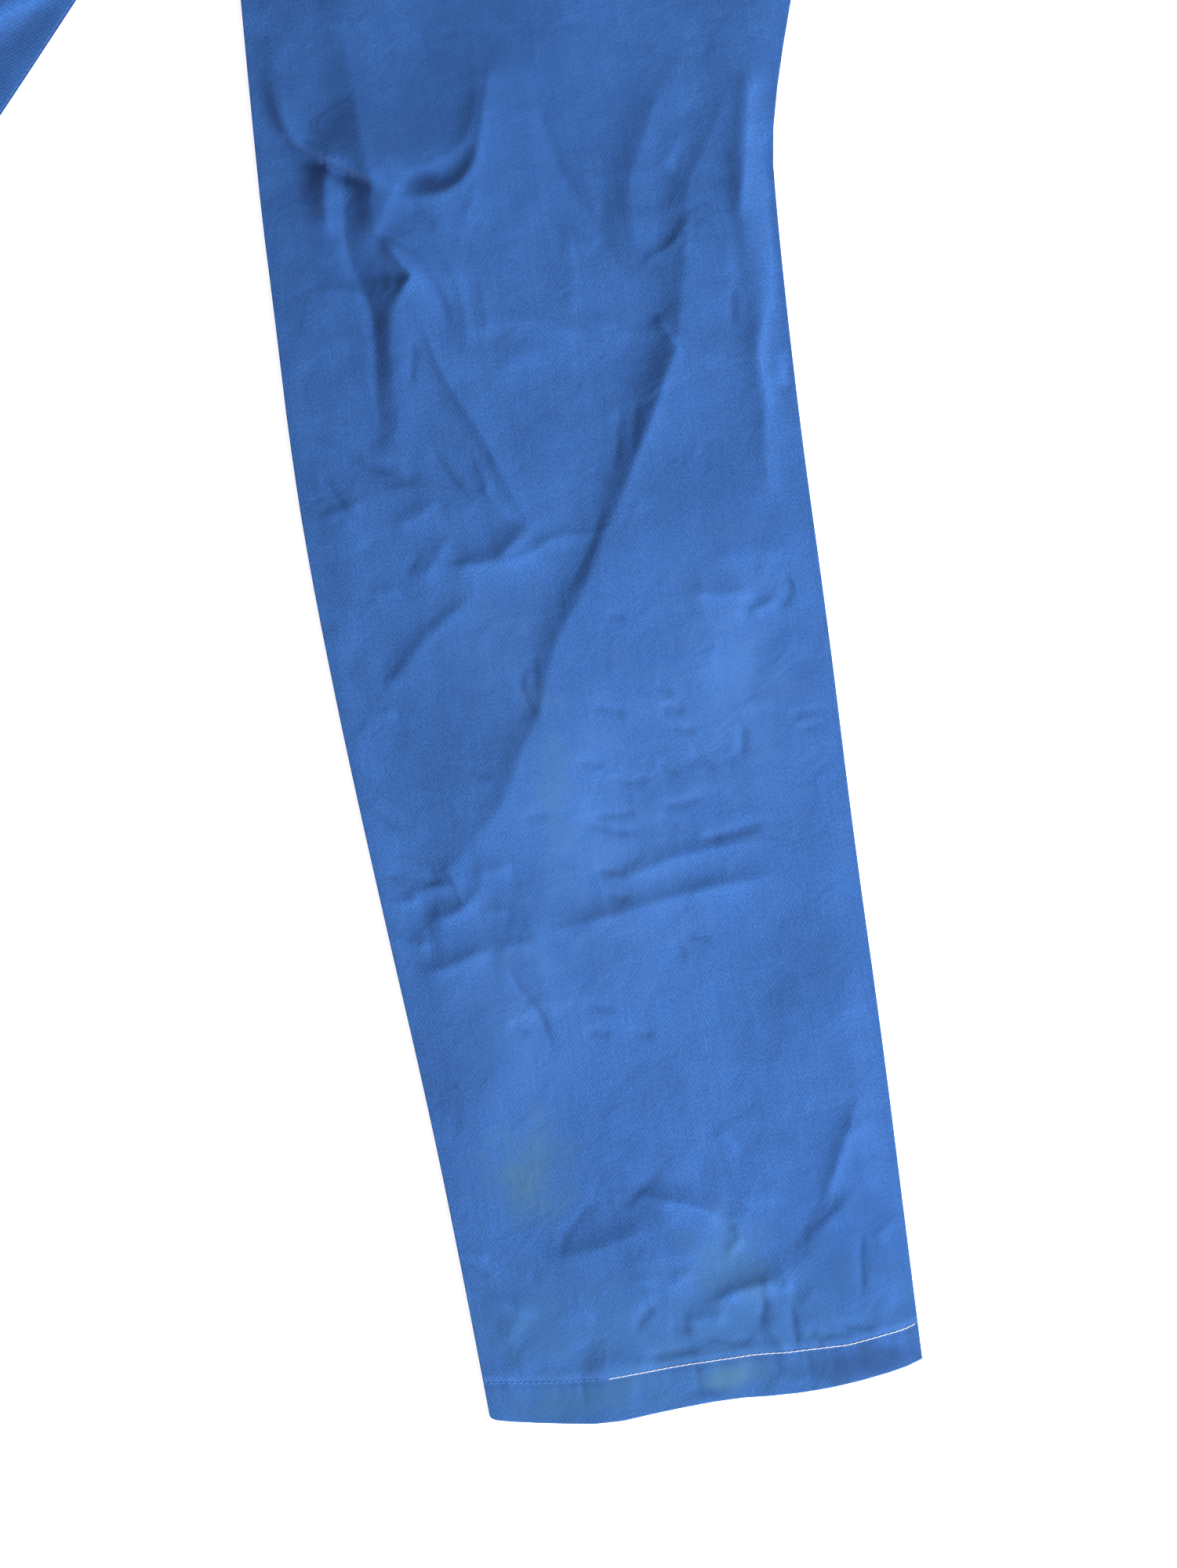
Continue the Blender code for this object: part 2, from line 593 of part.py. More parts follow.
back_cloth = new_material("twill_back", CLOTH_BLUE, CLOTH_ROUGHNESS)
back_band = band_plan(-WAIST_HALF, WAIST_HALF, BAND_COLUMNS_BACK)
back_band = pull_in(back_band, seam, seam, -BACK_SPREAD, -BACK_SPREAD)
solid_cloth("waistband_back", *back_wall(back_band), back_cloth, coveralls)
back = pull_in(bodice_back_plan(), seam, 0.0, seam, seam)
solid_cloth("bodice_back", *back_wall(back), back_cloth, coveralls)
build_collar(new_material("twill_collar", CLOTH_BLUE, CLOTH_ROUGHNESS), coveralls)
build_placket(new_material("twill_fly", CLOTH_BLUE, CLOTH_ROUGHNESS), coveralls)

button_plastic = new_material("button_plastic", BUTTON_BLUE, BUTTON_ROUGHNESS)
for number, button_y in enumerate(BUTTON_PLACES, start=1):
    build_button("button_" + str(number), button_y, button_plastic, coveralls)
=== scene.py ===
"""Coveralls in royal blue twill, laid flat with the front up.

The finish of a garment whose panels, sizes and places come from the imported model.
Metres, +Z up, +Y towards the neck, +X towards the wearer's left.
"""

import math

import bpy
import numpy as np
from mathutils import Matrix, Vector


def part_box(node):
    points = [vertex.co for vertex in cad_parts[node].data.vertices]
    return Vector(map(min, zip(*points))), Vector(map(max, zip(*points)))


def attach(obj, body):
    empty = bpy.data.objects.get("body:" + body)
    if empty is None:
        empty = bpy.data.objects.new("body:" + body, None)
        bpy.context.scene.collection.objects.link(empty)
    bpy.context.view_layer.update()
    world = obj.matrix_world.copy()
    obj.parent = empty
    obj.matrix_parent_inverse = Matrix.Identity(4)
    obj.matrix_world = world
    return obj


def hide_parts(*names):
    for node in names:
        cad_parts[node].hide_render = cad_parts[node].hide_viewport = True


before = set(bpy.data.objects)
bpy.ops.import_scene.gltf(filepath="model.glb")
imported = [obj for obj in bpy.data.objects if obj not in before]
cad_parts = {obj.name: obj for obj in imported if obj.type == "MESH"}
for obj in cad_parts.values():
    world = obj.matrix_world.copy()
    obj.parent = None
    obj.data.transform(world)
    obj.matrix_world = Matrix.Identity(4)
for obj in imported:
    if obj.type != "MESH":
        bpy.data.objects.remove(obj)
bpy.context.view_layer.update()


# Back of the legs.
# Two trouser backs of cotton and polyester twill, cut from the waist to the hem in one length.
# They lie flat on the surface, and their hems are turned in and stitched.

# Cloth of the shells, wall and gap of the solids, reach of the back past the front, and what
# each edge keeps clear of a seam.
CLOTH = 0.0007
WALL = 0.0015
GAP = 0.0003
BACK_SPREAD = 0.0003
SEAM_GAP = 0.0001
# The back's seams lie this far off the front's, so no light comes through both.
SEAM_OFFSET = 0.0005
SEAM_FADE = 0.05

HEM_CENTRE = (0.414, -1.018)
LEG_ANGLE = math.radians(22.5)
LEG_LENGTH = 0.603
LEG_SHARE = 0.60
HEM_DEPTH = 0.018

# Height above the hem, half width to the inseam, half width to the outseam.
LEG_WIDTHS = (
    (0.603, 0.127, 0.122),
    (0.553, 0.128, 0.118),
    (0.454, 0.131, 0.114),
    (0.354, 0.127, 0.113),
    (0.253, 0.120, 0.110),
    (0.153, 0.112, 0.109),
    (0.077, 0.108, 0.107),
    (0.000, 0.105, 0.105),
)
# Share of the panel's length, centre edge x and y, side edge x and y.
SEAT_ROWS = (
    (0.00, 0.000, -0.020, 0.252, -0.020),
    (0.15, 0.000, -0.170, 0.280, -0.165),
    (0.30, 0.000, -0.320, 0.289, -0.295),
)
# Place across the leg, drop of the hem edge below a straight hem.
HEM_WAVE = (
    (-0.105, -0.002), (-0.102, 0.000), (-0.077, 0.005), (-0.049, 0.009), (-0.020, 0.007),
    (0.010, 0.006), (0.037, 0.008), (0.066, 0.0075), (0.095, 0.004), (0.105, 0.001),
)
WAVE_START = 0.9
# Turned-in hem of the back: step up from the hem edge, height of the outer face.
HEM_TURN = (
    (-0.0004, 0.0004), (-0.0004, 0.0011), (0.0, WALL), (0.006, WALL), (HEM_DEPTH, WALL),
)


def smoothstep(value):
    """Soft rise from 0 to 1."""
    value = np.clip(value, 0.0, 1.0)
    return value * value * (3.0 - 2.0 * value)


def softened(rows, times=2):
    """The same line with its corners cut."""
    rows = np.asarray(rows, dtype=float)
    for _ in range(times):
        near = 0.75 * rows[:-1] + 0.25 * rows[1:]
        far = 0.25 * rows[:-1] + 0.75 * rows[1:]
        cut = np.stack([near, far], axis=1).reshape(-1, rows.shape[1])
        rows = np.vstack([rows[:1], cut, rows[-1:]])
    return rows


def leg_place(across, up):
    """Point of the left leg from its place across and its height above the hem."""
    x = HEM_CENTRE[0] - up * math.sin(LEG_ANGLE) + across * math.cos(LEG_ANGLE)
    y = HEM_CENTRE[1] + up * math.cos(LEG_ANGLE) + across * math.sin(LEG_ANGLE)
    return x, y


def leg_own(x, y):
    """Place across the left leg and height above its hem, from a point."""
    dx, dy = x - HEM_CENTRE[0], y - HEM_CENTRE[1]
    across = dx * math.cos(LEG_ANGLE) + dy * math.sin(LEG_ANGLE)
    return across, -dx * math.sin(LEG_ANGLE) + dy * math.cos(LEG_ANGLE)


def leg_edges():
    """Centre and side edge of the left leg panel, as rows of share, x and y."""
    centre = [(share, x, y) for share, x, y, _, _ in SEAT_ROWS]
    side = [(share, x, y) for share, _, _, x, y in SEAT_ROWS]
    inseam = [centre[-1]]
    for up, inner, outer in LEG_WIDTHS:
        share = 1.0 - LEG_SHARE * up / LEG_LENGTH
        inseam.append((share, *leg_place(-inner, up)))
        side.append((share, *leg_place(outer, up)))
    return np.vstack([centre[:-1], softened(inseam)]), softened(side)


def between(first, last, count, *fine):
    """Steps from first to last, with finer ones at both ends."""
    steps = np.linspace(first, last, count)
    return np.unique(np.concatenate([steps, first + np.array(fine), last - np.array(fine)]))


def ruled(first, last, shares):
    """Grid of x and y whose rows run straight between two edges."""
    return first[:, None, :] + shares[None, :, None] * (last - first)[:, None, :]


def leg_plan(down, shares):
    """Plan of the left leg panel, a row for each share down from the waist."""
    centre, side = leg_edges()
    first = np.stack([np.interp(down, centre[:, 0], centre[:, k]) for k in (1, 2)], axis=-1)
    last = np.stack([np.interp(down, side[:, 0], side[:, k]) for k in (1, 2)], axis=-1)
    plan = ruled(first, last, shares)
    wave = softened(HEM_WAVE, 1)
    across = leg_own(plan[..., 0], plan[..., 1])[0]
    drop = np.interp(across, wave[:, 0], wave[:, 1])
    drop *= smoothstep((down[:, None] - WAVE_START) / (1.0 - WAVE_START))
    plan[..., 0] += drop * math.sin(LEG_ANGLE)
    plan[..., 1] -= drop * math.cos(LEG_ANGLE)
    return plan


def pull_in(grid, first_row, last_row, first_column, last_column):
    """Grid of x and y with each border moved inwards by its own amount."""
    grid = grid.copy()
    for border, inside, amount in (
        (np.s_[0, :], np.s_[1, :], first_row),
        (np.s_[-1, :], np.s_[-2, :], last_row),
        (np.s_[:, 0], np.s_[:, 1], first_column),
        (np.s_[:, -1], np.s_[:, -2], last_column),
    ):
        way = grid[inside] - grid[border]
        grid[border] += amount * way / np.linalg.norm(way, axis=-1, keepdims=True)
    return grid


def under_face(points, thickness, skip, turned):
    """Inner face of a sheet: the rows and columns that it keeps, and its points.

    A coarser one, with a skip over 1, lies below every crease, and keeps all rows turned in.
    """
    rows, columns = points.shape[:2]
    flat_rows = rows - turned
    kept_rows = np.unique(np.r_[0:flat_rows:skip, flat_rows - 1 : rows])
    kept_columns = np.unique(np.r_[0:columns:skip, columns - 1])
    along, across = np.gradient(points, axis=0), np.gradient(points, axis=1)
    upward = np.cross(along, across)
    upward /= np.maximum(np.linalg.norm(upward, axis=-1, keepdims=True), 1e-12)
    inner = points - thickness * upward
    if skip == 1:
        return kept_rows, kept_columns, inner
    inner[:flat_rows] = points[:flat_rows] - (0.0, 0.0, thickness)
    lowest = inner[..., 2].copy()
    for step in range(1, skip + 1):
        for near, far in ((np.s_[step:flat_rows, :], np.s_[: flat_rows - step, :]),
                          (np.s_[:flat_rows, step:], np.s_[:flat_rows, : columns - step])):
            level = inner[..., 2]
            lowest[near] = np.minimum(lowest[near], level[far])
            lowest[far] = np.minimum(lowest[far], level[near])
    inner[:flat_rows, :, 2] = lowest[:flat_rows]
    return kept_rows, kept_columns, inner[np.ix_(kept_rows, kept_columns)]


BLUR_STEPS = 4


def blurred(values):
    """Grid of values, each the mean of those round it."""
    for axis in (0, 1):
        wide = [(0, 0), (0, 0)]
        wide[axis] = (BLUR_STEPS, BLUR_STEPS)
        spread = np.pad(values, wide, mode="edge")
        count = values.shape[axis]
        values = sum(
            np.take(spread, range(k, k + count), axis=axis) for k in range(2 * BLUR_STEPS + 1)
        ) / (2 * BLUR_STEPS + 1)
    return values


def rim(outer, inner, kept):
    """Faces between a border of the outer face and the coarser border of the inner one."""
    return [
        (*outer[first : last + 1], inner[k + 1], inner[k])
        for k, (first, last) in enumerate(zip(kept[:-1], kept[1:]))
    ]


def cloth_shell(
    name, points, grain, material, side=1.0, thickness=CLOTH, skip=1, turned=0, rise=None
):
    """Sheet of cloth with its outer face through a grid of points, and its grain as UV map.

    rise, where given, is the height of its creases. It makes their crests paler from wear,
    and their hollows darker with painted shade.
    """
    points = points * np.array([side, 1.0, 1.0])
    wear_and_shade = np.zeros(points.shape[:2])
    if rise is not None:
        # Paler on the crests from wear, and darker in the hollows as painted shade.
        wear_and_shade[: rise.shape[0]] = rise - blurred(rise)
    if side < 0.0:
        points, grain, wear_and_shade = points[:, ::-1], grain[:, ::-1], wear_and_shade[:, ::-1]
    rows, columns = points.shape[:2]
    kept_rows, kept_columns, inner = under_face(points, thickness, skip, turned)
    index = np.arange(rows * columns).reshape(rows, columns)
    under = rows * columns + np.arange(inner.shape[0] * inner.shape[1]).reshape(inner.shape[:2])
    faces = []
    for grid in (index, under.T):
        corners = [grid[:-1, :-1], grid[1:, :-1], grid[1:, 1:], grid[:-1, 1:]]
        faces += np.stack(corners, axis=-1).reshape(-1, 4).tolist()
    faces += rim(index[0], under[0], kept_columns)
    faces += rim(index[:, -1], under[:, -1], kept_rows)
    faces += [face[::-1] for face in rim(index[-1], under[-1], kept_columns)]
    faces += [face[::-1] for face in rim(index[:, 0], under[:, 0], kept_rows)]
    mesh = bpy.data.meshes.new(name)
    mesh.from_pydata(np.vstack([points.reshape(-1, 3), inner.reshape(-1, 3)]).tolist(), [], faces)
    corners = np.empty(len(mesh.loops), dtype=np.int32)
    mesh.loops.foreach_get("vertex_index", corners)
    under_grain = grain[np.ix_(kept_rows, kept_columns)]
    places = np.vstack([grain.reshape(-1, 2), under_grain.reshape(-1, 2)])
    cut = mesh.uv_layers.new(name="grain")
    cut.data.foreach_set("uv", places[corners].ravel())
    # The layer that makes crests paler from wear and paints shade into the hollows.
    worn = mesh.attributes.new("wear_and_shade", "FLOAT", "POINT")
    worn.data.foreach_set("value", np.r_[wear_and_shade.ravel(), np.zeros(inner.shape[0] * inner.shape[1])])
    mesh.materials.append(material)
    mesh.shade_smooth()
    mesh.set_sharp_from_angle(angle=math.radians(60.0))
    thing = bpy.data.objects.new(name, mesh)
    bpy.context.scene.collection.objects.link(thing)
    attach(thing, "root")
    return thing


def linear(hex_colour):
    """Linear colour of an sRGB hex value."""
    shares = [int(hex_colour[k : k + 2], 16) / 255 for k in (0, 2, 4)]
    return (*[s / 12.92 if s <= 0.04045 else ((s + 0.055) / 1.055) ** 2.4 for s in shares], 1.0)


def add_node(tree, kind, settings=None, links=None):
    """New node with its properties and socket values set and its inputs linked."""
    node = tree.nodes.new(kind)
    for key, value in (settings or {}).items():
        if hasattr(node, key):
            setattr(node, key, value)
        else:
            node.inputs[key].default_value = value
    for key, source in (links or {}).items():
        tree.links.new(source, node.inputs[key])
    return node


# The real ribs lie 0.8 mm apart, and the yarn is 0.4 mm thick. Both are too fine to show in the
# render, so they are drawn twice as wide.
TWILL_PITCH = 0.0016
TWILL_ANGLE = math.radians(24.0)
YARN = 0.0008
SLUB_LENGTH = 0.040
WAVE_TURNS = 20.0
WEAR_AND_SHADE_DEPTH = 0.0016
TWILL_DEEP = "265292"
TWILL_PALE = "3768ae"


def cotton_twill(name, worn, marks=()):
    """Piece-dyed cotton and polyester twill: slanting ribs and heathered yarn, faded with washing.

    It is matt, paler on its crests from wear and darker in its hollows from painted shade. worn is
    the height of its finest crumples. marks are (colour, strength, across, up, half width, half
    height, softness), and some of them are painted shade.
    """
    material = bpy.data.materials.new(name)
    material.use_nodes = True
    tree = material.node_tree
    shader = tree.nodes["Principled BSDF"]
    shader.inputs["Roughness"].default_value = 0.86
    shader.inputs["Specular IOR Level"].default_value = 0.25
    shader.inputs["Sheen Weight"].default_value = 0.12
    shader.inputs["Sheen Roughness"].default_value = 0.45
    grain = add_node(tree, "ShaderNodeUVMap", {"uv_map": "grain"}).outputs["UV"]

    clouds = add_node(tree, "ShaderNodeTexNoise", {"Scale": 9.0, "Detail": 3.0}, {"Vector": grain})
    blotch = add_node(tree, "ShaderNodeTexNoise", {"Scale": 75.0, "Detail": 4.0}, {"Vector": grain})
    heather = add_node(
        tree, "ShaderNodeTexNoise", {"Scale": 0.7 / YARN, "Detail": 2.0}, {"Vector": grain}
    )
    drawn_out = add_node(
        tree, "ShaderNodeMapping", {"Scale": (0.5 / YARN, 1.0 / SLUB_LENGTH, 1.0)}, {"Vector": grain}
    )
    slubs = add_node(
        tree, "ShaderNodeTexNoise", {"Scale": 1.0, "Detail": 2.0},
        {"Vector": drawn_out.outputs["Vector"]},
    )
    turned = add_node(
        tree, "ShaderNodeMapping", {"Rotation": (0.0, 0.0, -TWILL_ANGLE)}, {"Vector": grain}
    )
    ribs = add_node(
        tree, "ShaderNodeTexWave",
        {"Scale": 2.0 * math.pi / (WAVE_TURNS * TWILL_PITCH), "Distortion": 1.6, "Detail": 1.0,
         "Detail Scale": 0.35},
        {"Vector": turned.outputs["Vector"]},
    )

    colour = add_node(tree, "ShaderNodeMix", {"data_type": "RGBA"})
    colour.inputs["A"].default_value = linear(TWILL_DEEP)
    colour.inputs["B"].default_value = linear(TWILL_PALE)
    spread = add_node(
        tree, "ShaderNodeMapRange",
        {"From Min": 0.3, "From Max": 0.7, "To Min": 0.30, "To Max": 0.70},
        {"Value": clouds.outputs["Fac"]},
    )
    tree.links.new(spread.outputs["Result"], colour.inputs["Factor"])
    result = colour.outputs["Result"]

    # Each tone: its source, the lowest and highest value, and the brightness at both.
    wear_and_shade = add_node(tree, "ShaderNodeAttribute", {"attribute_name": "wear_and_shade"})
    tones = (
        (blotch.outputs["Fac"], 0.30, 0.70, 0.93, 1.07),
        (heather.outputs["Fac"], 0.30, 0.70, 0.80, 1.20),
        (slubs.outputs["Fac"], 0.30, 0.70, 0.95, 1.05),
        (ribs.outputs["Fac"], 0.0, 1.0, 0.95, 1.05),
        # Paler crests from wear, and painted shade that darkens the hollows.
        (wear_and_shade.outputs["Fac"], -WEAR_AND_SHADE_DEPTH, WEAR_AND_SHADE_DEPTH, 0.66, 1.10),
    )
    for source, low, high, dark, light in tones:
        tone = add_node(
            tree, "ShaderNodeMapRange",
            {"From Min": low, "From Max": high, "To Min": dark, "To Max": light}, {"Value": source},
        )
        mix = add_node(
            tree, "ShaderNodeVectorMath", {"operation": "SCALE"},
            {"Vector": result, "Scale": tone.outputs["Result"]},
        )
        result = mix.outputs["Vector"]

    # Each mark tints the colour: stains, grease, wear and dirt, and also painted shade.
    for hex_colour, strength, across, up, half_width, half_height, softness in marks:
        place = add_node(
            tree, "ShaderNodeMapping",
            {"vector_type": "TEXTURE", "Location": (across, up, 0.0),
             "Scale": (half_width, half_height, 1.0)},
            {"Vector": grain},
        )
        away = add_node(
            tree, "ShaderNodeVectorMath", {"operation": "LENGTH"},
            {"Vector": place.outputs["Vector"]},
        )
        edge = add_node(
            tree, "ShaderNodeMath", {"operation": "MULTIPLY_ADD"}, {0: blotch.outputs["Fac"]}
        )
        edge.inputs[1].default_value = 1.2
        tree.links.new(away.outputs["Value"], edge.inputs[2])
        amount = add_node(
            tree, "ShaderNodeMapRange",
            {"interpolation_type": "SMOOTHSTEP", "From Min": 1.6 - softness, "From Max": 1.6,
             "To Min": strength, "To Max": 0.0},
            {"Value": edge.outputs["Value"]},
        )
        marked_tone = add_node(tree, "ShaderNodeMix", {"data_type": "RGBA"})
        marked_tone.inputs["B"].default_value = linear(hex_colour)
        tree.links.new(result, marked_tone.inputs["A"])
        tree.links.new(amount.outputs["Result"], marked_tone.inputs["Factor"])
        result = marked_tone.outputs["Result"]
    tree.links.new(result, shader.inputs["Base Color"])

    weave = add_node(
        tree, "ShaderNodeBump", {"Strength": 0.35, "Distance": 0.0002},
        {"Height": ribs.outputs["Fac"]},
    )
    crumple = add_node(
        tree, "ShaderNodeTexNoise",
        {"Scale": 45.0, "Detail": 4.0, "Roughness": 0.5, "Distortion": 0.6}, {"Vector": grain},
    )
    soft = add_node(
        tree, "ShaderNodeBump", {"Strength": 1.0, "Distance": worn},
        {"Height": crumple.outputs["Fac"], "Normal": weave.outputs["Normal"]},
    )
    tree.links.new(soft.outputs["Normal"], shader.inputs["Normal"])
    return material


back_twill = cotton_twill("cotton_twill_back", 0.0006)
back_down = between(0.0, 1.0, 60, 0.001, 0.002)
back_across = between(0.0, 1.0, 24, 0.002, 0.006)
up_way = np.array([-math.sin(LEG_ANGLE), math.cos(LEG_ANGLE)])
plan = pull_in(
    leg_plan(back_down, back_across), SEAM_GAP + SEAM_OFFSET, 0.0, SEAM_GAP, -BACK_SPREAD
)
in_leg = smoothstep((back_down - SEAT_ROWS[-1][0]) / SEAM_FADE)
plan[:, 0, 0] -= (BACK_SPREAD + SEAM_GAP) * in_leg
levels = [np.zeros(plan.shape[:2])]
rows = [plan]
for step, level in HEM_TURN:
    rows.append(plan[-1:] + step * up_way)
    levels.append(np.full((1, plan.shape[1]), level))
points = np.dstack([np.vstack(rows), np.vstack(levels)])
grain = np.dstack(leg_own(points[..., 0], points[..., 1]))
off_centre = np.append(1.0 - in_leg, np.zeros(len(HEM_TURN)))[:, None] * (1.0 - back_across)
for word, side in (("left", 1.0), ("right", -1.0)):
    moved = points.copy()
    moved[..., 0] -= side * SEAM_OFFSET * off_centre
    leg_back = cloth_shell("back_leg_" + word, moved[::-1], grain[::-1], back_twill, side)
    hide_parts("leg_back_" + word)


# Front of the legs.
# Two trouser fronts of the same twill, sewn to the backs at the inseam and the outseam.
# Their hems are turned up 18 mm and stitched, on the left leg partly in white thread.

# The front's cloth swells off its closed edges, and rounds over at edges and seams.
FRONT = 2.0 * WALL + GAP
CROWN = 0.0030
CROWN_REACH = 0.030
LEAST_CROWN = 0.15
EDGE_ROUND = 0.0008
EDGE_DROP = 0.0001
SEAM_ROUND = 0.0015
SEAM_DROP = 0.0006
STITCH_DENT = 0.0016

# Outline of bodice, sleeve and fly, which the height of the cloth depends on everywhere.
WAIST_HALF = 0.252
BAND_HALF = 0.020
SHOULDER = (0.235, 0.462)
ARMPIT = (0.292, 0.262)
NECK_HALF = 0.085
NECK_TOP_Y = 0.497
SLEEVE_ANGLE = math.radians(50.0)
SLEEVE_TOP_LENGTH = 0.58
CUFF_WIDTH = 0.14
ARMHOLE_DEPTH = 0.020
FLY_HALF = 0.019
FLY_END = -0.240

# The cloth creases only where it is loose: start and length of each soft change.
LOOSE = (0.002, 0.016)
BESIDE_FLY = (FLY_HALF + 0.005, 0.030)
BELOW_FLY = (0.006 - FLY_END, 0.030)
OFF_BAND = (BAND_HALF + 0.001, 0.014)
COLLAR_LOW = (0.335, 0.040)
COLLAR_WIDE = (0.140, 0.030)

# Line of the hem stitching: place across the leg, height above the hem.
HEM_STITCHES = (
    (-0.105, 0.018), (-0.101, 0.018), (-0.072, 0.014), (-0.046, 0.012), (-0.009, 0.013),
    (0.025, 0.013), (0.040, 0.012), (0.071, 0.011), (0.098, 0.014), (0.105, 0.016),
)

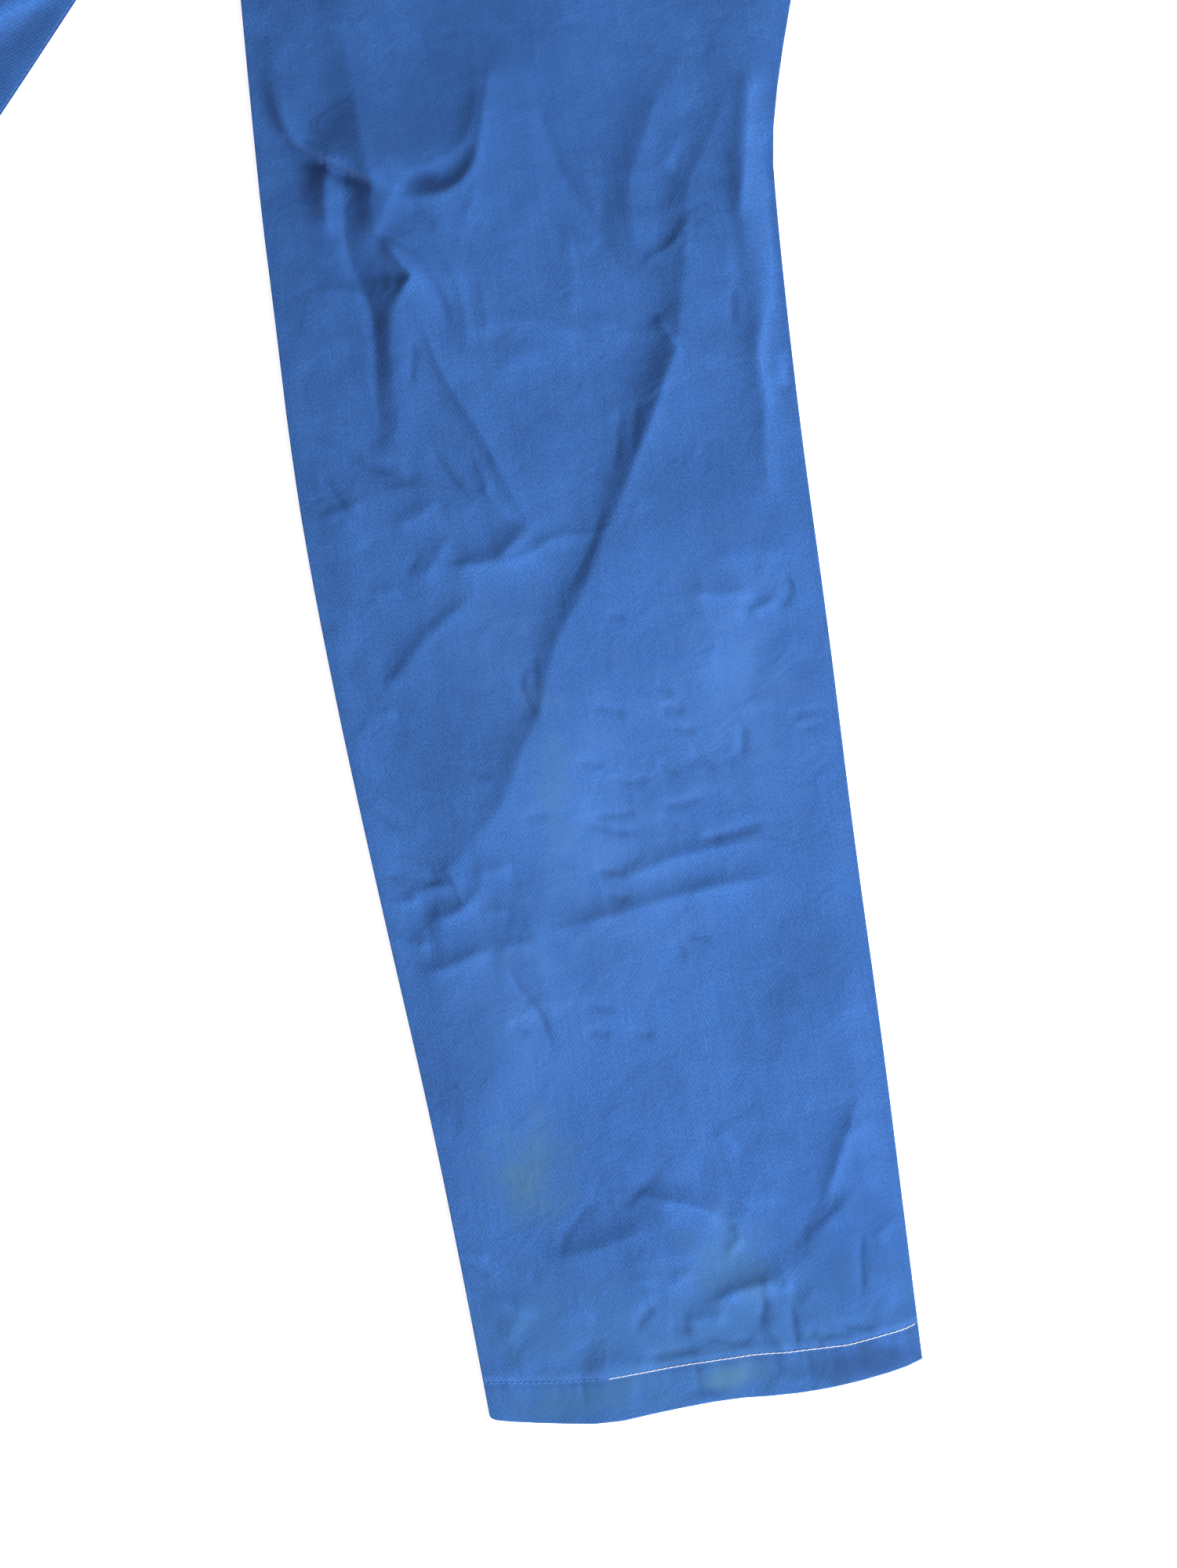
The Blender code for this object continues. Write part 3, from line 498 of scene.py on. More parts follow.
# Creases, in millimetres: height of the crest, fall on the left and on the right of its route,
# share of the height at the start and at the end, and the route as (across, above the hem).
LEFT_LEG_CREASES = (
    (5.5, 20.0, 3.2, 0.5, 0.9,
     ((-115, 659), (-112, 637), (-108, 624), (-100, 618), (-94, 614), (-84, 607), (-74, 600))),
    (-5.0, 2.4, 3.5, 0.6, 0.5, ((-110, 623), (-101, 614), (-94, 610), (-85, 603), (-75, 597))),
    (6.5, 34.0, 14.0, 0.4, 0.2,
     ((-76, 674), (-74, 643), (-74, 618), (-73, 601), (-73, 586), (-75, 575), (-68, 564),
      (-60, 552), (-60, 549), (-65, 545), (-70, 537), (-74, 525), (-76, 510), (-77, 498),
      (-76, 487), (-78, 475), (-87, 465))),
    (3.0, 9.7, 2.9, 0.2, 0.3,
     ((-73, 572), (-68, 563), (-64, 556), (-59, 549), (-64, 545), (-68, 539))),
    (3.2, 5.3, 9.2, 0.7, 0.0, ((-90, 610), (-94, 602), (-96, 593), (-96, 581), (-98, 573))),
    (-2.2, 8.0, 4.0, 0.3, 0.2,
     ((-85, 601), (-87, 588), (-89, 575), (-88, 561), (-85, 548), (-81, 536), (-82, 522),
      (-85, 499), (-87, 477))),
    (1.1, 2.9, 6.7, 0.4, 0.4, ((-108, 549), (-93, 550), (-82, 543))),
    (3.0, 5.0, 18.0, 0.5, 0.3,
     ((-15, 638), (-20, 620), (-24, 611), (-32, 605), (-41, 602), (-53, 599), (-60, 595),
      (-66, 586), (-71, 578), (-74, 574))),
    (5.5, 6.0, 14.0, 0.2, 0.5,
     ((-64, 587), (-57, 587), (-47, 586), (-37, 586), (-27, 592), (-20, 602), (-16, 615),
      (-10, 637))),
    (-1.1, 2.0, 3.0, 0.2, 0.0, ((-57, 586), (-50, 578), (-44, 569))),
    (-1.3, 2.0, 3.0, 0.6, 0.0, ((-72, 572), (-60, 564), (-52, 551), (-47, 535), (-44, 516))),
    (1.3, 6.0, 4.0, 0.3, 0.0, ((-45, 564), (-39, 549), (-37, 532), (-38, 515), (-41, 505))),
    (1.0, 6.0, 4.0, 0.2, 0.0, ((-28, 544), (-27, 527), (-29, 512))),
    (1.1, 5.0, 4.1, 0.3, 0.0, ((-22, 589), (-26, 580), (-32, 571))),
    (1.9, 10.0, 2.8, 0.3, 0.4,
     ((-61, 536), (-57, 520), (-53, 505), (-49, 493), (-42, 479), (-37, 467), (-33, 455),
      (-30, 444), (-24, 431))),
    (-1.1, 2.0, 3.0, 0.0, 0.0, ((-64, 520), (-65, 511), (-69, 497))),
    (1.6, 4.0, 3.4, 0.2, 0.4, ((-43, 462), (-40, 450), (-39, 439), (-33, 432), (-24, 426))),
    (-1.2, 2.0, 3.0, 0.1, 0.2, ((-64, 469), (-58, 456), (-54, 449), (-49, 442))),
    (1.2, 8.0, 10.0, 0.2, 0.2, ((-28, 521), (-9, 522), (9, 512), (24, 512))),
    (0.8, 8.9, 6.0, 0.2, 0.0, ((0, 506), (-20, 503), (-32, 491))),
    (1.1, 8.0, 6.0, 0.0, 0.0, ((18, 564), (17, 549), (16, 533), (13, 519))),
    (-0.9, 3.0, 3.0, 0.0, 0.3, ((-119, 482), (-104, 473), (-94, 466))),
    (-2.6, 5.0, 5.0, 0.0, 0.5, ((-106, 471), (-95, 462), (-84, 456), (-77, 454))),
    (-1.1, 2.0, 3.0, 0.0, 0.3, ((-118, 466), (-112, 452), (-107, 442))),
    (1.2, 3.3, 6.7, 0.0, 0.3, ((-124, 443), (-113, 442), (-104, 445), (-98, 449))),
    (1.2, 5.1, 5.1, 0.2, 0.0, ((-111, 442), (-106, 432), (-99, 425))),
    (1.3, 6.8, 5.3, 0.0, 0.0, ((-63, 443), (-76, 435), (-89, 433))),
    (-0.7, 2.0, 3.0, 0.0, 0.0, ((-75, 421), (-80, 414), (-85, 408))),
    (1.3, 6.0, 5.0, 0.2, 0.0, ((-60, 425), (-67, 416), (-72, 410), (-82, 403))),
    (3.6, 6.5, 10.0, 0.1, 0.2, ((-68, 410), (-53, 408), (-39, 409), (-32, 415), (-19, 424))),
    (1.5, 3.0, 6.0, 0.3, 0.2,
     ((-41, 407), (-29, 408), (-21, 411), (-14, 415), (-5, 416), (6, 415))),
    (1.7, 10.0, 4.6, 0.0, 0.2,
     ((-49, 397), (-60, 390), (-71, 383), (-81, 376), (-88, 368), (-97, 359), (-110, 359))),
    (1.1, 4.2, 2.8, 0.0, 0.0, ((-98, 346), (-107, 344), (-115, 346))),
    (0.9, 4.8, 3.2, 0.2, 0.0, ((-122, 364), (-116, 355), (-114, 346))),
    (0.8, 4.3, 3.6, 0.0, 0.0, ((-87, 405), (-95, 401), (-104, 402))),
    (4.2, 40.0, 9.0, 0.4, 0.5,
     ((98, 606), (87, 587), (79, 578), (76, 566), (74, 550), (70, 533), (66, 515), (62, 503),
      (61, 496), (55, 488), (50, 475), (43, 462), (35, 449), (28, 436), (21, 425), (13, 413),
      (6, 398), (-4, 383), (-12, 374), (-20, 361), (-26, 345), (-31, 331), (-41, 319), (-48, 303),
      (-56, 290), (-67, 281), (-78, 271))),
    (1.8, 6.0, 14.0, 0.3, 0.6, ((63, 500), (51, 479), (39, 458), (26, 435))),
    (-0.7, 2.0, 3.0, 0.0, 0.0, ((16, 431), (8, 413), (1, 402), (-9, 388))),
    (1.8, 3.0, 4.9, 0.0, 0.4, ((53, 515), (57, 506), (61, 496))),
    (-0.6, 2.0, 3.0, 0.0, 0.0, ((38, 477), (35, 463), (32, 447))),
    (-0.8, 2.0, 3.0, 0.0, 0.0, ((30, 474), (27, 460), (21, 442))),
    (-0.6, 2.0, 3.0, 0.0, 0.0, ((-29, 364), (-30, 353), (-31, 343))),
    (-0.8, 2.0, 3.0, 0.0, 0.0, ((-32, 357), (-38, 351), (-36, 339), (-31, 329))),
    (1.2, 5.0, 2.6, 0.5, 0.1, ((73, 554), (68, 548), (63, 545), (55, 542), (50, 538))),
    (-2.0, 12.0, 4.0, 0.5, 0.0,
     ((12, 626), (15, 605), (21, 588), (28, 573), (33, 560), (38, 545), (44, 530))),
    (3.0, 18.0, 9.0, 0.5, 0.1,
     ((69, 618), (60, 598), (52, 584), (48, 570), (49, 557), (53, 548), (58, 542))),
    (1.3, 5.5, 5.5, 0.4, 0.0, ((79, 600), (72, 590), (64, 583))),
    (0.9, 7.1, 9.5, 0.0, 0.2, ((17, 518), (35, 509), (53, 502))),
    (4.0, 8.0, 8.0, 0.5, 0.3,
     ((121, 602), (116, 575), (114, 560), (113, 547), (112, 531), (110, 517), (104, 503), (99, 491),
      (99, 479), (100, 469), (98, 455), (95, 440), (95, 429))),
    (4.0, 10.0, 6.5, 0.8, 0.0, ((114, 615), (109, 591), (105, 572), (98, 552))),
    (3.0, 4.0, 5.0, 0.0, 0.0, ((113, 492), (110, 481), (110, 469))),
    (-0.9, 1.8, 2.4, 0.0, 0.0, ((92, 522), (90, 513), (89, 503))),
    (0.8, 5.6, 5.6, 0.2, 0.2, ((94, 549), (91, 538), (92, 526))),
    (1.3, 8.8, 10.3, 0.0, 0.2, ((58, 393), (71, 394), (85, 395), (100, 390))),
    (1.9, 5.6, 9.3, 0.1, 0.0, ((45, 380), (57, 378), (71, 376), (83, 373))),
    (1.5, 2.5, 4.1, 0.0, 0.0, ((75, 365), (82, 368), (91, 371))),
    (-1.1, 2.0, 3.0, 0.0, 0.0, ((94, 385), (98, 378), (97, 372), (90, 365))),
    (0.6, 5.2, 4.6, 0.0, 0.0, ((57, 363), (56, 352), (53, 342))),
    (0.8, 7.0, 7.0, 0.0, 0.0, ((100, 357), (89, 343), (79, 332))),
    (0.8, 5.5, 6.0, 0.0, 0.0, ((58, 321), (68, 322), (83, 324))),
    (-0.9, 2.4, 2.4, 0.2, 0.0, ((65, 315), (64, 307), (62, 298))),
    (-0.9, 1.8, 2.4, 0.0, 0.0, ((38, 308), (44, 299), (50, 293))),
    (-0.9, 2.0, 3.0, 0.0, 0.8, ((90, 308), (100, 308), (110, 310))),
    (-0.9, 1.8, 2.4, 0.0, 0.6, ((86, 314), (97, 315), (109, 314))),
    (-1.0, 1.8, 2.4, 0.0, 0.0, ((-7, 333), (1, 331), (12, 327))),
    (-0.9, 1.8, 2.4, 0.0, 0.0, ((25, 327), (33, 327), (40, 325))),
    (-0.8, 1.8, 2.4, 0.0, 0.0, ((26, 340), (30, 336), (34, 332))),
    (-0.8, 1.8, 2.4, 0.0, 0.0, ((7, 376), (12, 374), (18, 373))),
    (-0.8, 1.8, 2.4, 0.0, 0.0, ((-19, 307), (-9, 307), (-2, 302))),
    (-0.8, 1.8, 2.4, 0.0, 0.0, ((21, 303), (26, 298), (32, 294))),
    (-0.8, 1.8, 2.4, 0.0, 0.0, ((29, 319), (36, 316), (44, 315))),
    (-0.8, 1.8, 2.4, 0.2, 0.0, ((-1, 297), (6, 295), (18, 295))),
    (-1.2, 2.0, 3.0, 0.0, 0.0, ((-24, 280), (-13, 277), (-2, 272), (9, 270))),
    (-0.8, 1.8, 2.4, 0.0, 0.0, ((-19, 281), (-5, 280), (10, 280))),
    (-0.8, 1.8, 2.4, 0.0, 0.0, ((18, 281), (31, 281), (43, 282))),
    (-0.8, 1.8, 2.4, 0.0, 0.0, ((18, 277), (23, 273), (28, 268))),
    (0.6, 6.2, 7.9, 0.0, 0.0, ((28, 287), (43, 287), (61, 287))),
    (-0.7, 1.8, 2.4, 0.0, 0.0, ((-72, 315), (-66, 310), (-57, 307))),
    (-0.8, 1.8, 2.4, 0.0, 0.0, ((-49, 285), (-37, 286), (-32, 282))),
    (2.9, 6.0, 16.0, 0.1, 0.4,
     ((-47, 229), (-26, 230), (-3, 233), (17, 236), (36, 238), (53, 238), (63, 239))),
    (1.1, 6.4, 9.2, 0.0, 0.2, ((20, 235), (40, 238), (58, 240))),
    (2.2, 4.6, 9.0, 0.0, 0.3,
     ((-17, 249), (0, 250), (14, 253), (22, 255), (35, 256), (49, 257), (61, 258))),
    (-1.3, 2.0, 3.0, 0.0, 0.2, ((34, 262), (49, 263), (61, 265), (71, 265))),
    (-0.8, 1.8, 2.4, 0.0, 0.0, ((-18, 254), (-9, 255), (1, 250))),
    (-0.8, 1.8, 2.4, 0.0, 0.0, ((-13, 245), (-7, 241), (0, 239))),
    (1.8, 14.0, 14.0, 0.0, 0.2,
     ((-54, 258), (-50, 243), (-49, 228), (-48, 211), (-46, 191), (-45, 173))),
    (-1.2, 2.0, 3.0, 0.0, 0.0, ((-64, 216), (-60, 203), (-54, 195), (-51, 187), (-48, 172))),
    (-0.8, 1.8, 2.4, 0.0, 0.0, ((-67, 190), (-63, 185), (-58, 182))),
    (-1.0, 1.8, 2.4, 0.0, 0.0, ((-33, 180), (-27, 178), (-18, 176))),
    (-0.8, 1.8, 2.4, 0.0, 0.0, ((-12, 177), (-6, 174), (2, 173))),
    (-0.8, 1.8, 2.4, 0.0, 0.0, ((17, 216), (19, 211), (21, 206))),
    (-0.8, 1.8, 2.4, 0.0, 0.0, ((20, 219), (28, 216), (36, 215))),
    (-0.8, 1.8, 2.4, 0.0, 0.0, ((-32, 194), (-25, 190), (-14, 188))),
    (0.7, 2.7, 4.8, 0.0, 0.0, ((-69, 225), (-58, 225), (-49, 225))),
    (-1.3, 2.0, 3.0, 0.4, 0.0, ((-123, 307), (-115, 296), (-105, 287))),
    (-1.1, 2.0, 3.0, 0.1, 0.2, ((-111, 278), (-102, 274), (-94, 267), (-91, 261))),
    (-1.1, 2.0, 3.0, 0.2, 0.2, ((-121, 268), (-107, 264), (-94, 261), (-86, 263))),
    (1.4, 4.0, 4.0, 0.0, 0.4, ((-110, 258), (-100, 257), (-89, 258), (-82, 254))),
    (1.2, 4.3, 1.8, 0.1, 0.4, ((-89, 269), (-84, 263), (-82, 253))),
    (2.4, 6.0, 6.0, 0.0, 0.3, ((-101, 243), (-93, 242), (-83, 244), (-76, 249), (-72, 254))),
    (1.6, 3.4, 5.0, 0.4, 0.1, ((-120, 252), (-110, 253), (-99, 254))),
    (1.7, 4.0, 5.3, 0.5, 0.0, ((-119, 234), (-108, 232), (-97, 232))),
    (1.7, 4.0, 7.0, 0.0, 0.0, ((-109, 220), (-99, 218), (-88, 220), (-76, 224), (-68, 225))),
    (1.3, 4.1, 5.4, 0.0, 0.0, ((-75, 263), (-65, 261), (-53, 264))),
    (0.8, 2.5, 3.7, 0.0, 0.0, ((-74, 241), (-67, 243), (-59, 241))),
    (1.8, 5.0, 4.0, 0.0, 0.0, ((93, 129), (89, 118), (81, 103), (75, 90), (67, 77))),
    (0.8, 3.9, 2.9, 0.2, 0.0, ((100, 118), (93, 114), (86, 110))),
    (1.5, 9.1, 3.6, 0.2, 0.3, ((84, 83), (74, 74), (64, 66), (54, 60))),
    (2.2, 8.0, 9.0, 0.2, 0.1, ((64, 58), (48, 51), (34, 45), (18, 41), (-2, 38))),
    (1.6, 3.0, 3.0, 0.0, 0.2, ((45, 47), (33, 46), (21, 45), (9, 41))),
    (1.6, 3.0, 4.0, 0.0, 0.0, ((-8, 34), (5, 34), (18, 34))),
    (-1.1, 2.0, 3.0, 0.0, 0.0, ((-14, 33), (-7, 32), (-3, 28))),
    (-1.0, 1.8, 2.4, 0.0, 0.0, ((-4, 26), (10, 24), (16, 20), (28, 22))),
    (-1.1, 2.0, 3.0, 0.0, 0.0, ((-28, 20), (-15, 20), (2, 21))),
    (3.3, 4.8, 11.6, 0.4, 0.3, ((-17, 97), (-5, 92), (6, 89), (13, 85), (19, 80), (27, 79))),
    (-0.6, 2.0, 3.0, 0.2, 0.2, ((-4, 109), (-14, 102), (-22, 96), (-31, 91))),
    (-0.6, 2.0, 3.0, 0.2, 0.2, ((-34, 98), (-45, 95), (-49, 90), (-55, 85), (-60, 74))),
    (2.2, 7.0, 13.9, 0.1, 0.2, ((-68, 74), (-50, 73), (-36, 76), (-22, 79), (-11, 82))),
    (1.5, 8.2, 12.8, 0.0, 0.2, ((-36, 66), (-17, 65), (2, 66), (16, 72))),
    (1.1, 2.1, 3.7, 0.8, 0.0, ((-108, 80), (-100, 80), (-93, 77))),
    (-1.0, 1.8, 2.4, 0.6, 0.0, ((-105, 77), (-99, 71), (-94, 68))),
    (1.9, 4.5, 9.1, 0.8, 0.0, ((-107, 63), (-95, 57), (-83, 52), (-74, 45))),
    (0.6, 4.1, 5.8, 0.0, 0.0, ((-69, 44), (-56, 44), (-45, 42))),
    (1.8, 6.0, 9.0, 0.0, 0.2, ((-58, 20), (-43, 19), (-31, 18), (-21, 12))),
    (-1.3, 2.0, 3.0, 0.0, 0.1, ((-31, 33), (-25, 40), (-18, 45))),
    (0.4, 4.3, 3.4, 0.0, 0.0, ((-82, 47), (-89, 41), (-94, 34))),
    (1.4, 4.0, 6.0, 0.0, 0.0, ((-29, 61), (-20, 55), (-11, 52), (-4, 55), (4, 61))),
    (-1.0, 1.8, 2.4, 0.0, 0.0, ((-29, 54), (-19, 53), (-10, 53))),
    (1.3, 3.2, 2.6, 0.0, 0.0, ((29, 71), (24, 67), (19, 62))),
    (-1.3, 2.0, 3.0, 0.3, 0.0, ((17, 84), (21, 79), (25, 73))),
    (-1.0, 2.0, 2.6, 0.0, 0.0, ((86, 66), (83, 53), (82, 42), (80, 31))),
    (1.0, 3.1, 4.6, 0.0, 0.5, ((89, 60), (98, 63), (107, 67))),
    (-1.1, 2.0, 3.0, 0.0, 0.3, ((55, 17), (64, 18), (76, 14))),
    (-1.1, 2.0, 3.0, 0.0, 0.0, ((64, 22), (74, 21), (86, 17))),
    (-1.1, 2.0, 3.0, 0.0, 0.7, ((92, 24), (99, 25), (107, 29))),
    (-1.1, 2.0, 3.0, 0.0, 0.5, ((46, 36), (46, 24), (46, 14))),
    (1.6, 4.8, 3.9, 0.1, 0.5, ((32, 30), (36, 22), (41, 12))),
    (-1.1, 2.0, 3.0, 0.0, 0.4, ((52, 23), (56, 17), (58, 10))),
    (-1.3, 2.0, 3.0, 0.0, 0.0, ((32, 42), (34, 35), (29, 28))),
    (1.5, 4.3, 4.3, 0.0, 0.0, ((32, 42), (40, 43), (50, 43))),
    (0.7, 3.2, 2.7, 0.0, 0.0, ((60, 41), (55, 37), (50, 32))),
    (0.6, 5.2, 6.5, 0.0, 0.0, ((25, 89), (36, 88), (52, 88))),
    (0.9, 4.6, 4.6, 0.0, 0.0, ((23, 125), (28, 117), (32, 108))),
    (0.7, 4.9, 6.6, 0.4, 0.0, ((-104, 21), (-92, 24), (-77, 24))),
)
RIGHT_LEG_CREASES = (
    (7.5, 38.0, 5.0, 0.4, 0.2,
     ((-120, 690), (-100, 645), (-88, 612), (-80, 580), (-83, 545), (-88, 505), (-98, 470))),
    (3.0, 20.0, 5.0, 0.3, 0.0, ((-84, 560), (-62, 582), (-40, 590), (-12, 606), (8, 640))),
    (-2.4, 5.0, 5.0, 0.4, 0.0, ((-76, 560), (-60, 540), (-46, 512), (-38, 470))),
    (-2.0, 4.0, 4.0, 0.0, 0.3, ((-40, 520), (-30, 480), (-22, 450), (-6, 424))),
    (-2.0, 4.0, 3.0, 0.6, 0.0, ((-6, 424), (-28, 412), (-56, 408))),
    (-2.4, 10.0, 4.0, 0.6, 0.0, ((16, 650), (24, 600), (38, 560), (44, 520))),
    (2.4, 12.0, 5.0, 0.5, 0.0, ((70, 650), (60, 600), (62, 560), (74, 520))),
    (-2.6, 4.0, 5.0, 0.5, 0.2, ((104, 640), (98, 590), (90, 540), (88, 490), (96, 450))),
    (4.2, 40.0, 7.0, 0.3, 0.3,
     ((80, 500), (58, 462), (40, 430), (16, 402), (-6, 368), (-24, 330), (-52, 296), (-76, 282))),
    (-2.2, 4.0, 4.0, 0.0, 0.2, ((-60, 390), (-84, 372), (-100, 352), (-116, 350))),
    (-2.4, 7.0, 4.0, 0.2, 0.2, ((-50, 246), (-20, 240), (16, 244), (52, 256), (70, 262))),
    (-1.4, 4.0, 3.0, 0.0, 0.0, ((-30, 268), (10, 262), (50, 274))),
    (-1.4, 3.0, 3.0, 0.3, 0.0, ((-120, 292), (-98, 276), (-80, 270))),
    (-1.6, 3.0, 3.0, 0.3, 0.3, ((-118, 262), (-96, 262), (-78, 266))),
    (-1.5, 3.0, 3.0, 0.2, 0.0, ((-112, 236), (-92, 246), (-74, 258))),
    (-1.3, 3.0, 3.0, 0.0, 0.0, ((-110, 214), (-88, 222), (-66, 220))),
    (-1.5, 4.0, 3.0, 0.0, 0.0, ((40, 380), (66, 372), (92, 374))),
    (-1.3, 3.0, 3.0, 0.0, 0.0, ((60, 340), (84, 352), (98, 372))),
    (-1.0, 3.0, 3.0, 0.0, 0.0, ((-10, 330), (30, 322), (66, 318))),
    (-0.9, 3.0, 3.0, 0.0, 0.0, ((-40, 196), (-46, 168), (-40, 146))),
    (-1.4, 3.0, 3.0, 0.0, 0.0, ((-40, 110), (-10, 98), (28, 88))),
    (-1.3, 4.0, 4.0, 0.3, 0.0, ((-108, 76), (-70, 72), (-20, 78), (20, 72))),
    (-1.4, 3.0, 3.0, 0.0, 0.3, ((88, 124), (76, 100), (66, 80))),
    (2.0, 7.0, 3.0, 0.0, 0.0, ((-10, 44), (24, 54), (56, 62), (82, 82))),
    (-1.4, 4.0, 3.0, 0.4, 0.0, ((-108, 52), (-84, 46), (-60, 34))),
    (-1.2, 3.0, 3.0, 0.0, 0.0, ((6, 36), (34, 28), (60, 32))),
    (1.8, 12.0, 9.0, 0.3, 0.0, ((-40, 790), (-20, 740), (-24, 690))),
    (-2.0, 6.0, 8.0, 0.5, 0.0, ((-104, 775), (-56, 750), (0, 744))),
    (1.6, 10.0, 9.0, 0.0, 0.0, ((70, 780), (76, 730), (70, 690))),
)

# Creases of the seat below the waistband, as (x, y) from the middle of the waist.
SEAT_CREASES = {
    1.0: (
        (-2.2, 5.0, 5.0, 0.8, 0.0, ((58, -18), (56, -70), (48, -130))),
        (2.2, 7.0, 5.0, 0.8, 0.0, ((94, -18), (96, -66), (102, -122))),
        (-2.0, 4.0, 5.0, 0.8, 0.0, ((126, -18), (126, -70), (136, -124))),
        (1.8, 6.0, 5.0, 0.8, 0.0, ((164, -18), (168, -60), (178, -104))),
        (-2.0, 4.0, 4.0, 0.8, 0.0, ((196, -18), (198, -66), (208, -120))),
        (1.6, 5.0, 6.0, 0.8, 0.0, ((226, -18), (230, -58), (238, -100))),
        (-2.6, 5.0, 5.0, 0.8, 0.0, ((2, -316), (40, -290), (98, -260))),
        (2.4, 8.0, 6.0, 0.6, 0.0, ((4, -302), (40, -264), (92, -222))),
        (-2.2, 5.0, 5.0, 0.8, 0.0, ((4, -284), (34, -240), (66, -196))),
    ),
    -1.0: (
        (-2.2, 5.0, 5.0, 0.8, 0.0, ((48, -18), (50, -64), (60, -118))),
        (2.0, 6.0, 7.0, 0.8, 0.0, ((80, -18), (84, -70), (80, -134))),
        (-2.2, 5.0, 4.0, 0.8, 0.0, ((112, -18), (114, -62), (124, -110))),
        (1.8, 6.0, 5.0, 0.8, 0.0, ((148, -18), (150, -66), (164, -118))),
        (-1.8, 4.0, 5.0, 0.8, 0.0, ((184, -18), (190, -58), (196, -98))),
        (1.8, 5.0, 5.0, 0.8, 0.0, ((218, -18), (220, -64), (232, -112))),
        (-2.4, 5.0, 5.0, 0.8, 0.0, ((2, -312), (46, -296), (110, -278))),
        (2.2, 7.0, 6.0, 0.6, 0.0, ((4, -298), (46, -250), (88, -206))),
    ),
}


def cuff_corners():
    """Ends of the cuff, at the sleeve's top fold and at its underarm seam."""
    way = np.array([math.sin(SLEEVE_ANGLE), -math.cos(SLEEVE_ANGLE)])
    top = np.array(SHOULDER) + SLEEVE_TOP_LENGTH * way
    return top, top + CUFF_WIDTH * np.array([way[1], -way[0]])


def armhole(share):
    """Points of the armhole seam, from the armpit at 0 to the shoulder at 1."""
    start, run = np.array(ARMPIT), np.array(SHOULDER) - np.array(ARMPIT)
    outward = np.array([-run[1], run[0]]) / math.hypot(*run)
    bow = ARMHOLE_DEPTH * 4.0 * share * (1.0 - share)
    return start + share[:, None] * run + bow[:, None] * outward


def nearest(x, y, route):
    """Distance to a route, share of its length, and side: from 1 on its left to -1 on its right."""
    lengths = np.hypot(*np.diff(route, axis=0).T)
    starts = np.concatenate(([0.0], np.cumsum(lengths)))
    best = np.full(np.shape(x), np.inf)
    share = np.zeros(np.shape(x))
    side = np.ones(np.shape(x))
    for k in np.flatnonzero(lengths > 0.0):
        (ax, ay), (bx, by) = route[k], route[k + 1]
        ux, uy = (bx - ax) / lengths[k], (by - ay) / lengths[k]
        run = np.clip((x - ax) * ux + (y - ay) * uy, 0.0, lengths[k])
        dx, dy = x - ax - run * ux, y - ay - run * uy
        distance = np.hypot(dx, dy)
        closer = distance < best
        best = np.where(closer, distance, best)
        share = np.where(closer, (starts[k] + run) / starts[-1], share)
        side = np.where(closer, (ux * dy - uy * dx) / np.maximum(distance, 1e-9), side)
    return best, share, side


# A crease is crisp at its crest, and grows from both ends over a share of its length.
CRISPNESS = 1.35
END_SHARE = 0.3
THIN_END = 0.55


def crease_height(x, y, creases):
    """Sum of a table of creases, in metres, at places given in metres."""
    x, y = 1000.0 * x, 1000.0 * y
    total = np.zeros(np.shape(x))
    for crest, left, right, start, end, route in creases:
        line = softened(route)
        reach = 3.0 * max(left, right)
        low, high = line.min(axis=0) - reach, line.max(axis=0) + reach
        near = (x > low[0]) & (x < high[0]) & (y > low[1]) & (y < high[1])
        if not near.any():
            continue
        distance, share, side = nearest(x[near], y[near], line)
        ends = start + (1.0 - start) * smoothstep(share / END_SHARE)
        ends *= end + (1.0 - end) * smoothstep((1.0 - share) / END_SHARE)
        width = right + (left - right) * smoothstep(0.5 + 0.5 * side)
        width *= THIN_END + (1.0 - THIN_END) * ends
        total[near] += 0.001 * crest * ends * np.exp(-((distance / width) ** CRISPNESS))
    return total


WAVES = 9
SHORTEST_WAVE = 0.045
WAVE_GROWTH = 0.013
WAVE_HEIGHT = 0.0045


def lie(x, y):
    """Slow rise and fall of cloth that lies loose: waves that cross, 45 to 150 mm long."""
    total = np.zeros(np.shape(x))
    for k in range(WAVES):
        length = SHORTEST_WAVE + WAVE_GROWTH * k
        heading = 2.4 * k
        place = x * math.cos(heading) + y * math.sin(heading)
        total += WAVE_HEIGHT * length * np.sin(2.0 * math.pi * place / length + 1.7 * k * k)
    return total


def rounded(distance, depth, reach):
    """How far cloth sinks at a distance from an edge that it rounds over."""
    inside = 1.0 - np.clip(distance / reach, 0.0, 1.0)
    return depth * (1.0 - np.sqrt(1.0 - inside**2))


def calm(x, y):
    """1 where the cloth may crease, 0 under the fly, the waistband and the collar."""
    beside_fly = smoothstep((x - BESIDE_FLY[0]) / BESIDE_FLY[1])
    below_fly = smoothstep((-y - BELOW_FLY[0]) / BELOW_FLY[1])
    off_band = smoothstep((np.abs(y) - OFF_BAND[0]) / OFF_BAND[1])
    below_collar = smoothstep((COLLAR_LOW[0] - y) / COLLAR_LOW[1])
    outside_collar = smoothstep((x - COLLAR_WIDE[0]) / COLLAR_WIDE[1])
    return np.maximum(beside_fly, below_fly) * off_band * np.maximum(below_collar, outside_collar)


